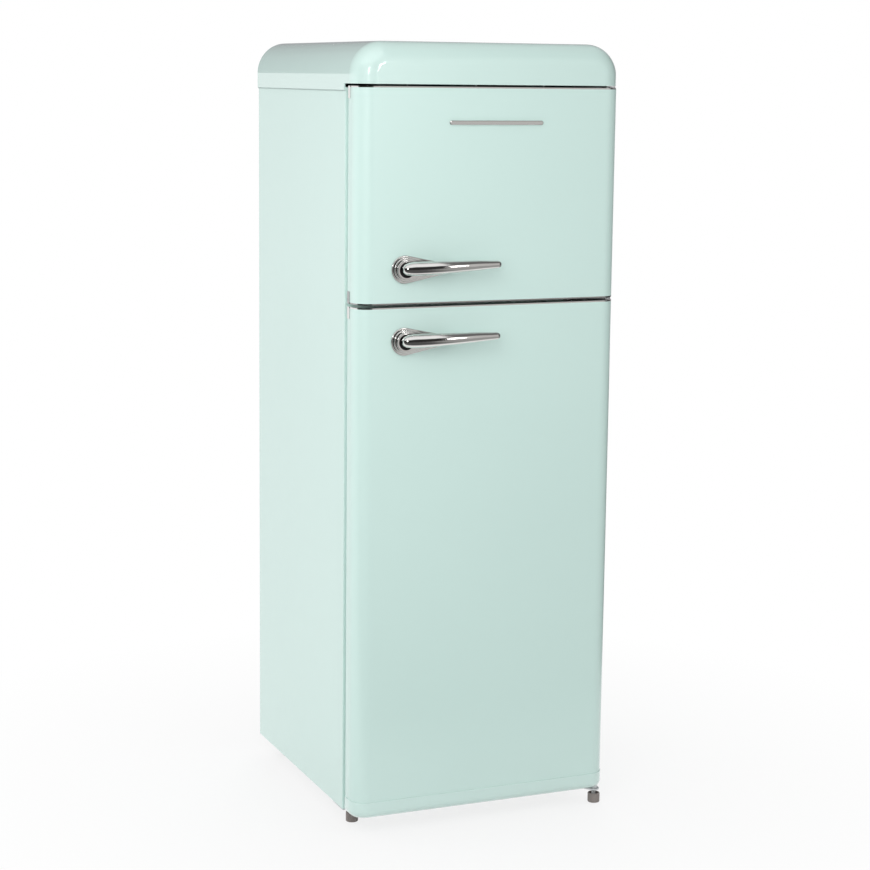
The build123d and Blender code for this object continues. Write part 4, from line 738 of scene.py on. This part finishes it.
# Lamp lens: a frosted cover with upright prisms.
LENS_CORNER = 0.007
LENS_SHOULDER = 0.0014
LENS_EDGE = 0.0016
LENS_PRISMS = 19
PRISM_RISE = 0.0004
PRISM_HALF_SHARE = 0.42
PRISM_INSET = 0.0035
# Half widths and rises across one prism.
PRISM_SECTION = ((-1.0, 0.0), (-0.6, 0.8), (0.0, 1.0), (0.6, 0.8), (1.0, 0.0))


def ribbed_lens():
    low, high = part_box("lamp_lens")
    sheet = bmesh.new()
    face_y = low[1] + PRISM_RISE
    rim = rounded_frame(low, high, 0.0, LENS_CORNER)
    shoulder = rounded_frame(low, high, LENS_SHOULDER, LENS_CORNER)
    back = [sheet.verts.new((x, high[1], z)) for x, z in rim]
    edge = [sheet.verts.new((x, low[1] + LENS_EDGE, z)) for x, z in rim]
    front = [sheet.verts.new((x, face_y, z)) for x, z in shoulder]
    skinned(sheet, (back, edge, front))
    sheet.faces.new(front)
    sheet.faces.new(back)
    pitch = (high[0] - low[0] - 2 * LENS_CORNER) / LENS_PRISMS
    half = pitch * PRISM_HALF_SHARE
    ends = (low[2] + PRISM_INSET, high[2] - PRISM_INSET)
    for prism in range(LENS_PRISMS):
        x = low[0] + LENS_CORNER + (prism + 0.5) * pitch
        crown = []
        for offset, rise in PRISM_SECTION:
            y = face_y - rise * PRISM_RISE
            crown.append([sheet.verts.new((x + half * offset, y, z)) for z in ends])
        for near, far in zip(crown, crown[1:]):
            sheet.faces.new((near[0], near[1], far[1], far[0]))
        for end in range(2):
            sheet.faces.new([row[end] for row in crown])
    new_piece("ribbed_lens", sheet, [frosted_lens], "cabinet", ["lamp_lens"], crease=30.0)


ribbed_lens()

# Machine bay: nuts and washers on the compressor's feet, places in millimetres.
GROMMETS = ((-25.0, 154.675), (-25.0, 258.675), (135.0, 154.675), (135.0, 258.675))
FOOT_TOP = 52.0
# Radius and height above the foot, and the number of sides.
WASHER = (((0.0, 0.0), (0.0078, 0.0), (0.0078, 0.0012), (0.0045, 0.0014)), 28)
NUT = (((0.0060, 0.0012), (0.0064, 0.0018), (0.0064, 0.0052), (0.0058, 0.0058), (0.0030, 0.0058)), 6)
FOOT_STUD = (((0.0030, 0.0050), (0.0030, 0.0088), (0.0026, 0.0094), (0.0, 0.0094)), 20)


def compressor_fixings():
    sheet = bmesh.new()
    for x, y in GROMMETS:
        place = Vector((x, y, FOOT_TOP)) * MM
        for profile, sides in (WASHER, NUT, FOOT_STUD):
            turned(sheet, profile, place, (0, 0, 1), sides)
    new_piece("compressor_nuts", sheet, [bright_steel], "cabinet", crease=25.0)


compressor_fixings()

# Relay box: a spring bail of round wire.
BAIL_RADIUS = 0.0010
BAIL_BEND = 0.005
BAIL_CLEARANCE = 0.0012
BAIL_TAIL = 0.004
BEND_STEPS = 6
WIRE_SIDES = 10


def wire_path(points, bend):
    """Straight runs between points with rounded corners."""
    corners = [Vector(point) for point in points]
    path = [corners[0]]
    for before, corner, after in zip(corners, corners[1:], corners[2:]):
        start = corner + (before - corner).normalized() * bend
        end = corner + (after - corner).normalized() * bend
        for step in range(BEND_STEPS + 1):
            past = step / BEND_STEPS
            left = 1 - past
            path.append(start * left ** 2 + corner * 2 * past * left + end * past * past)
    path.append(corners[-1])
    return path


def bent_wire(sheet, path, radius):
    """A round wire with closed ends along a path."""
    side = (path[1] - path[0]).normalized().orthogonal().normalized()
    rings = []
    for index, spot in enumerate(path):
        ahead = (path[min(index + 1, len(path) - 1)] - path[max(index - 1, 0)]).normalized()
        side = (side - ahead * side.dot(ahead)).normalized()
        across = ahead.cross(side)
        ring = []
        for step in range(WIRE_SIDES):
            angle = 2 * math.pi * step / WIRE_SIDES
            outward = side * math.cos(angle) + across * math.sin(angle)
            ring.append(sheet.verts.new(spot + outward * radius))
        rings.append(ring)
    skinned(sheet, rings)
    sheet.faces.new(rings[0])
    sheet.faces.new(rings[-1])


def relay_bail():
    low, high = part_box("start_relay")
    tail = low[0] - BAIL_TAIL
    reach = high[0] + BAIL_CLEARANCE
    near, far = low[1] - BAIL_CLEARANCE, high[1] + BAIL_CLEARANCE
    z = (low[2] + high[2]) / 2
    points = ((tail, near, z), (reach, near, z), (reach, far, z), (tail, far, z))
    sheet = bmesh.new()
    bent_wire(sheet, wire_path(points, BAIL_BEND), BAIL_RADIUS)
    new_piece("relay_bail", sheet, [bright_steel], "cabinet")


relay_bail()

# Back panel: upright stiffening beads, pressed outwards.
BEAD_HALF = 0.007
BEAD_RISE = 0.0022
BEAD_XS = (-0.150, 0.0, 0.150)
BEAD_INSET = 0.075
BEAD_STEPS = 12
# Share of the half width and of the rise, from the foot of the bead to its crest.
BEAD_SECTION = ((1.0, 0.0), (0.8, 0.5), (0.5, 0.88), (0.0, 1.0))


def panel_beads():
    low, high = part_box("back_panel")
    sheet = bmesh.new()
    outline = []
    for end, start in ((high[2] - BEAD_INSET, 0.0), (low[2] + BEAD_INSET, math.pi)):
        for step in range(BEAD_STEPS + 1):
            angle = math.pi * step / BEAD_STEPS + start
            outline.append((math.cos(angle), math.sin(angle), end))
    for x in BEAD_XS:
        rows = []
        for share, rise in BEAD_SECTION:
            half = BEAD_HALF * share
            y = high[1] + BEAD_RISE * rise
            row = [(x + cosine * half, y, end + sine * half) for cosine, sine, end in outline]
            rows.append([sheet.verts.new(spot) for spot in row])
        skinned(sheet, rows)
    new_piece("panel_beads", sheet, [galvanised], "cabinet")


panel_beads()

# Camera, with its angles in degrees and its lens in millimetres.
CAMERA_PLACE = (-1.6225, -3.8313, 1.4309)
CAMERA_YAW = 23.039
CAMERA_PITCH = -9.076
CAMERA_ROLL = 0.652
CAMERA_LENS = 86.81
CAMERA_SENSOR = 36.0
CAMERA_SHIFT = -0.028


def look_through():
    """The camera at the photograph's viewing angle."""
    yaw, pitch, roll = (math.radians(a) for a in (CAMERA_YAW, CAMERA_PITCH, CAMERA_ROLL))
    ahead = Vector((math.sin(yaw) * math.cos(pitch), math.cos(yaw) * math.cos(pitch), math.sin(pitch)))
    right = Vector((math.cos(yaw), -math.sin(yaw), 0.0))
    up = right.cross(ahead)
    across = right * math.cos(roll) + up * math.sin(roll)
    upward = up * math.cos(roll) - right * math.sin(roll)
    lens = bpy.data.cameras.new("camera")
    lens.lens = CAMERA_LENS
    lens.sensor_width = CAMERA_SENSOR
    lens.shift_y = CAMERA_SHIFT
    camera = bpy.data.objects.new("camera", lens)
    turn = Matrix((across, upward, -ahead)).transposed()
    camera.matrix_world = Matrix.Translation(CAMERA_PLACE) @ turn.to_4x4()
    bpy.context.scene.collection.objects.link(camera)
    bpy.context.scene.camera = camera


# Lamps: name, place, aim, size, power, and whether a lamp only shows in gloss.
COVER_CORNER = (-0.245, -0.272, 1.440)
LAMPS = (
    ("front_lamp", (-1.05, -1.65, 1.65), (0, 0, 1.1), (1.2, 1.5), 18.0, False),
    ("side_lamp", (-2.95, 2.05, 1.2), (0, 0, 0.85), (2.4, 1.7), 25.0, False),
    ("back_lamp", (1.6, 3.6, 2.0), (0, 0, 0.8), (2.4, 2.0), 60.0, False),
    ("left_pane", (-2.975, -5.534, 2.40), COVER_CORNER, (0.8, 1.3), 40.0, True),
    ("right_pane", (1.465, -5.99, 2.04), COVER_CORNER, (0.5, 0.9), 18.0, True),
)


def soft_lamp(name, place, aim, size, power, mirrored):
    """A rectangular lamp that lights without showing in gloss or, where mirrored, only shows there."""
    lamp = bpy.data.lights.new(name, "AREA")
    lamp.shape = "RECTANGLE"
    lamp.size, lamp.size_y = size
    lamp.energy = power
    holder = bpy.data.objects.new(name, lamp)
    holder.location = place
    holder.rotation_euler = (Vector(aim) - Vector(place)).to_track_quat("-Z", "Y").to_euler()
    holder.visible_glossy = mirrored
    holder.visible_diffuse = not mirrored
    bpy.context.scene.collection.objects.link(holder)


# World: the light from all round, and the room that gloss shows.
AMBIENT = (0.50, 0.50, 0.50)
AMBIENT_ABOVE = (0.80, 0.80, 0.80)
BACK_DIM = (0.34, 0.34, 0.35)
DARK_FLAG = (0.08, 0.08, 0.08)
# Tones of the front walls, from straight down at 0 to straight up at 1.
RIGHT_TONES = (
    (0.0, (0.20, 0.20, 0.195)), (0.20, (0.22, 0.22, 0.215)), (0.36, (0.58, 0.57, 0.56)),
    (0.72, (0.55, 0.54, 0.53)), (0.80, (0.12, 0.12, 0.12)), (1.0, (0.20, 0.20, 0.20)),
)
LEFT_TONES = (
    (0.0, (0.15, 0.15, 0.145)), (0.26, (0.15, 0.15, 0.145)), (0.31, (0.03, 0.03, 0.03)),
    (0.71, (0.03, 0.03, 0.03)), (0.75, WHITE), (0.95, WHITE), (1.0, (0.70, 0.70, 0.70)),
)
# Start and span of each change of tone, on the unit sphere of directions.
TO_ABOVE = (0.0, 0.7)
TO_BACK = (-0.10, 0.25)
TO_BACK_DIM = (0.012, 0.02)
TO_RIGHT_WALL = (0.17, 0.06)
TO_RIGHT_FLAG = (0.70, 0.15)


def studio_world():
    """White for the camera, a soft light for the paint, and a dim room that only gloss shows."""
    world = bpy.data.worlds.new("studio_world")
    bpy.context.scene.world = world
    w = Finish(world)
    towards = w.add("ShaderNodeTexCoord", {}, {}, "Generated")
    across = w.axis(towards, "X")
    depth = w.axis(towards, "Y")
    height = w.axis(towards, "Z")
    rise = height * 0.5 + 0.5
    right_wall = w.ramp(rise, RIGHT_TONES)
    left_wall = w.ramp(rise, LEFT_TONES)
    front_wall = w.blend(across.rising(*TO_RIGHT_WALL), left_wall, right_wall)
    back_wall = w.blend(height.rising(*TO_BACK_DIM), WHITE, BACK_DIM)
    walls = w.blend(depth.rising(*TO_BACK), front_wall, back_wall)
    room = w.blend(across.rising(*TO_RIGHT_FLAG), walls, DARK_FLAG)
    overhead = w.blend(height.rising(*TO_ABOVE), AMBIENT, AMBIENT_ABOVE)
    ambient = w.add("ShaderNodeBackground", {}, {"Color": overhead, "Strength": 1.0})
    dim = w.add("ShaderNodeBackground", {}, {"Color": room, "Strength": 1.0})
    white = w.add("ShaderNodeBackground", {}, {"Color": WHITE, "Strength": 1.0})
    lit = w.mix(w.ray("Is Glossy Ray"), ambient, dim)
    seen = (w.ray("Is Camera Ray") + w.ray("Is Transmission Ray")).clamped()
    w.add("ShaderNodeOutputWorld", {}, {"Surface": w.mix(seen, lit, white)})


# Floor: white paper, and the tones of it that gloss shows.
FLOOR_HALF = 5.0
FLOOR_Z = -0.0005
FLOOR_GLOW = 0.80
PAPER = (0.77, 0.77, 0.77)
FRONT_TONE = (0.36, 0.36, 0.35)
FRONT_LEFT_TONE = (0.09, 0.09, 0.09)
# Start, or end, and span of each change of tone, in metres.
TO_FAR = (0.35, 0.9)
TO_FRONT = (-0.5, 0.5)
TO_LEFT = (0.45, 0.4)
TO_LEFT_FRONT = (-0.6, 0.3)
TO_RIGHT = (0.9, 0.5)


def pale_floor():
    """A white floor that keeps the object's shadow and fades into the white surroundings."""
    mesh = bpy.data.meshes.new("floor")
    sheet = bmesh.new()
    bmesh.ops.create_grid(sheet, x_segments=2, y_segments=2, size=FLOOR_HALF)
    sheet.to_mesh(mesh)
    sheet.free()
    floor = bpy.data.objects.new("floor", mesh)
    floor.location = (0, 0, FLOOR_Z)
    bpy.context.scene.collection.objects.link(floor)
    f = new_finish("pale_floor")
    spot = f.place()
    across = f.axis(spot, "X")
    depth = f.axis(spot, "Y")
    middle = f.add("ShaderNodeVectorMath", {"operation": "LENGTH"}, {0: spot}, "Value")
    at_left = across.falling(*TO_LEFT) * depth.falling(*TO_LEFT_FRONT)
    front_tone = f.blend(at_left, FRONT_TONE, FRONT_LEFT_TONE)
    side_tone = f.blend(across.rising(*TO_RIGHT), WHITE, DARK_FLAG)
    tone = f.blend(depth.falling(*TO_FRONT), side_tone, front_tone)
    paper = f.add("ShaderNodeBsdfDiffuse", {}, {"Color": PAPER})
    glow = f.add("ShaderNodeEmission", {}, {"Color": WHITE, "Strength": 1.0})
    image = f.add("ShaderNodeEmission", {}, {"Color": tone, "Strength": 1.0})
    share = (FLOOR_GLOW + middle.rising(*TO_FAR) * (1 - FLOOR_GLOW)) * f.ray("Is Camera Ray")
    both = f.mix(f.ray("Is Glossy Ray"), f.mix(share, paper, glow), image)
    f.add("ShaderNodeOutputMaterial", {}, {"Surface": both})
    mesh.materials.append(f.owner)


look_through()
for lamp in LAMPS:
    soft_lamp(*lamp)
studio_world()
pale_floor()
bpy.context.scene.view_settings.view_transform = "Standard"
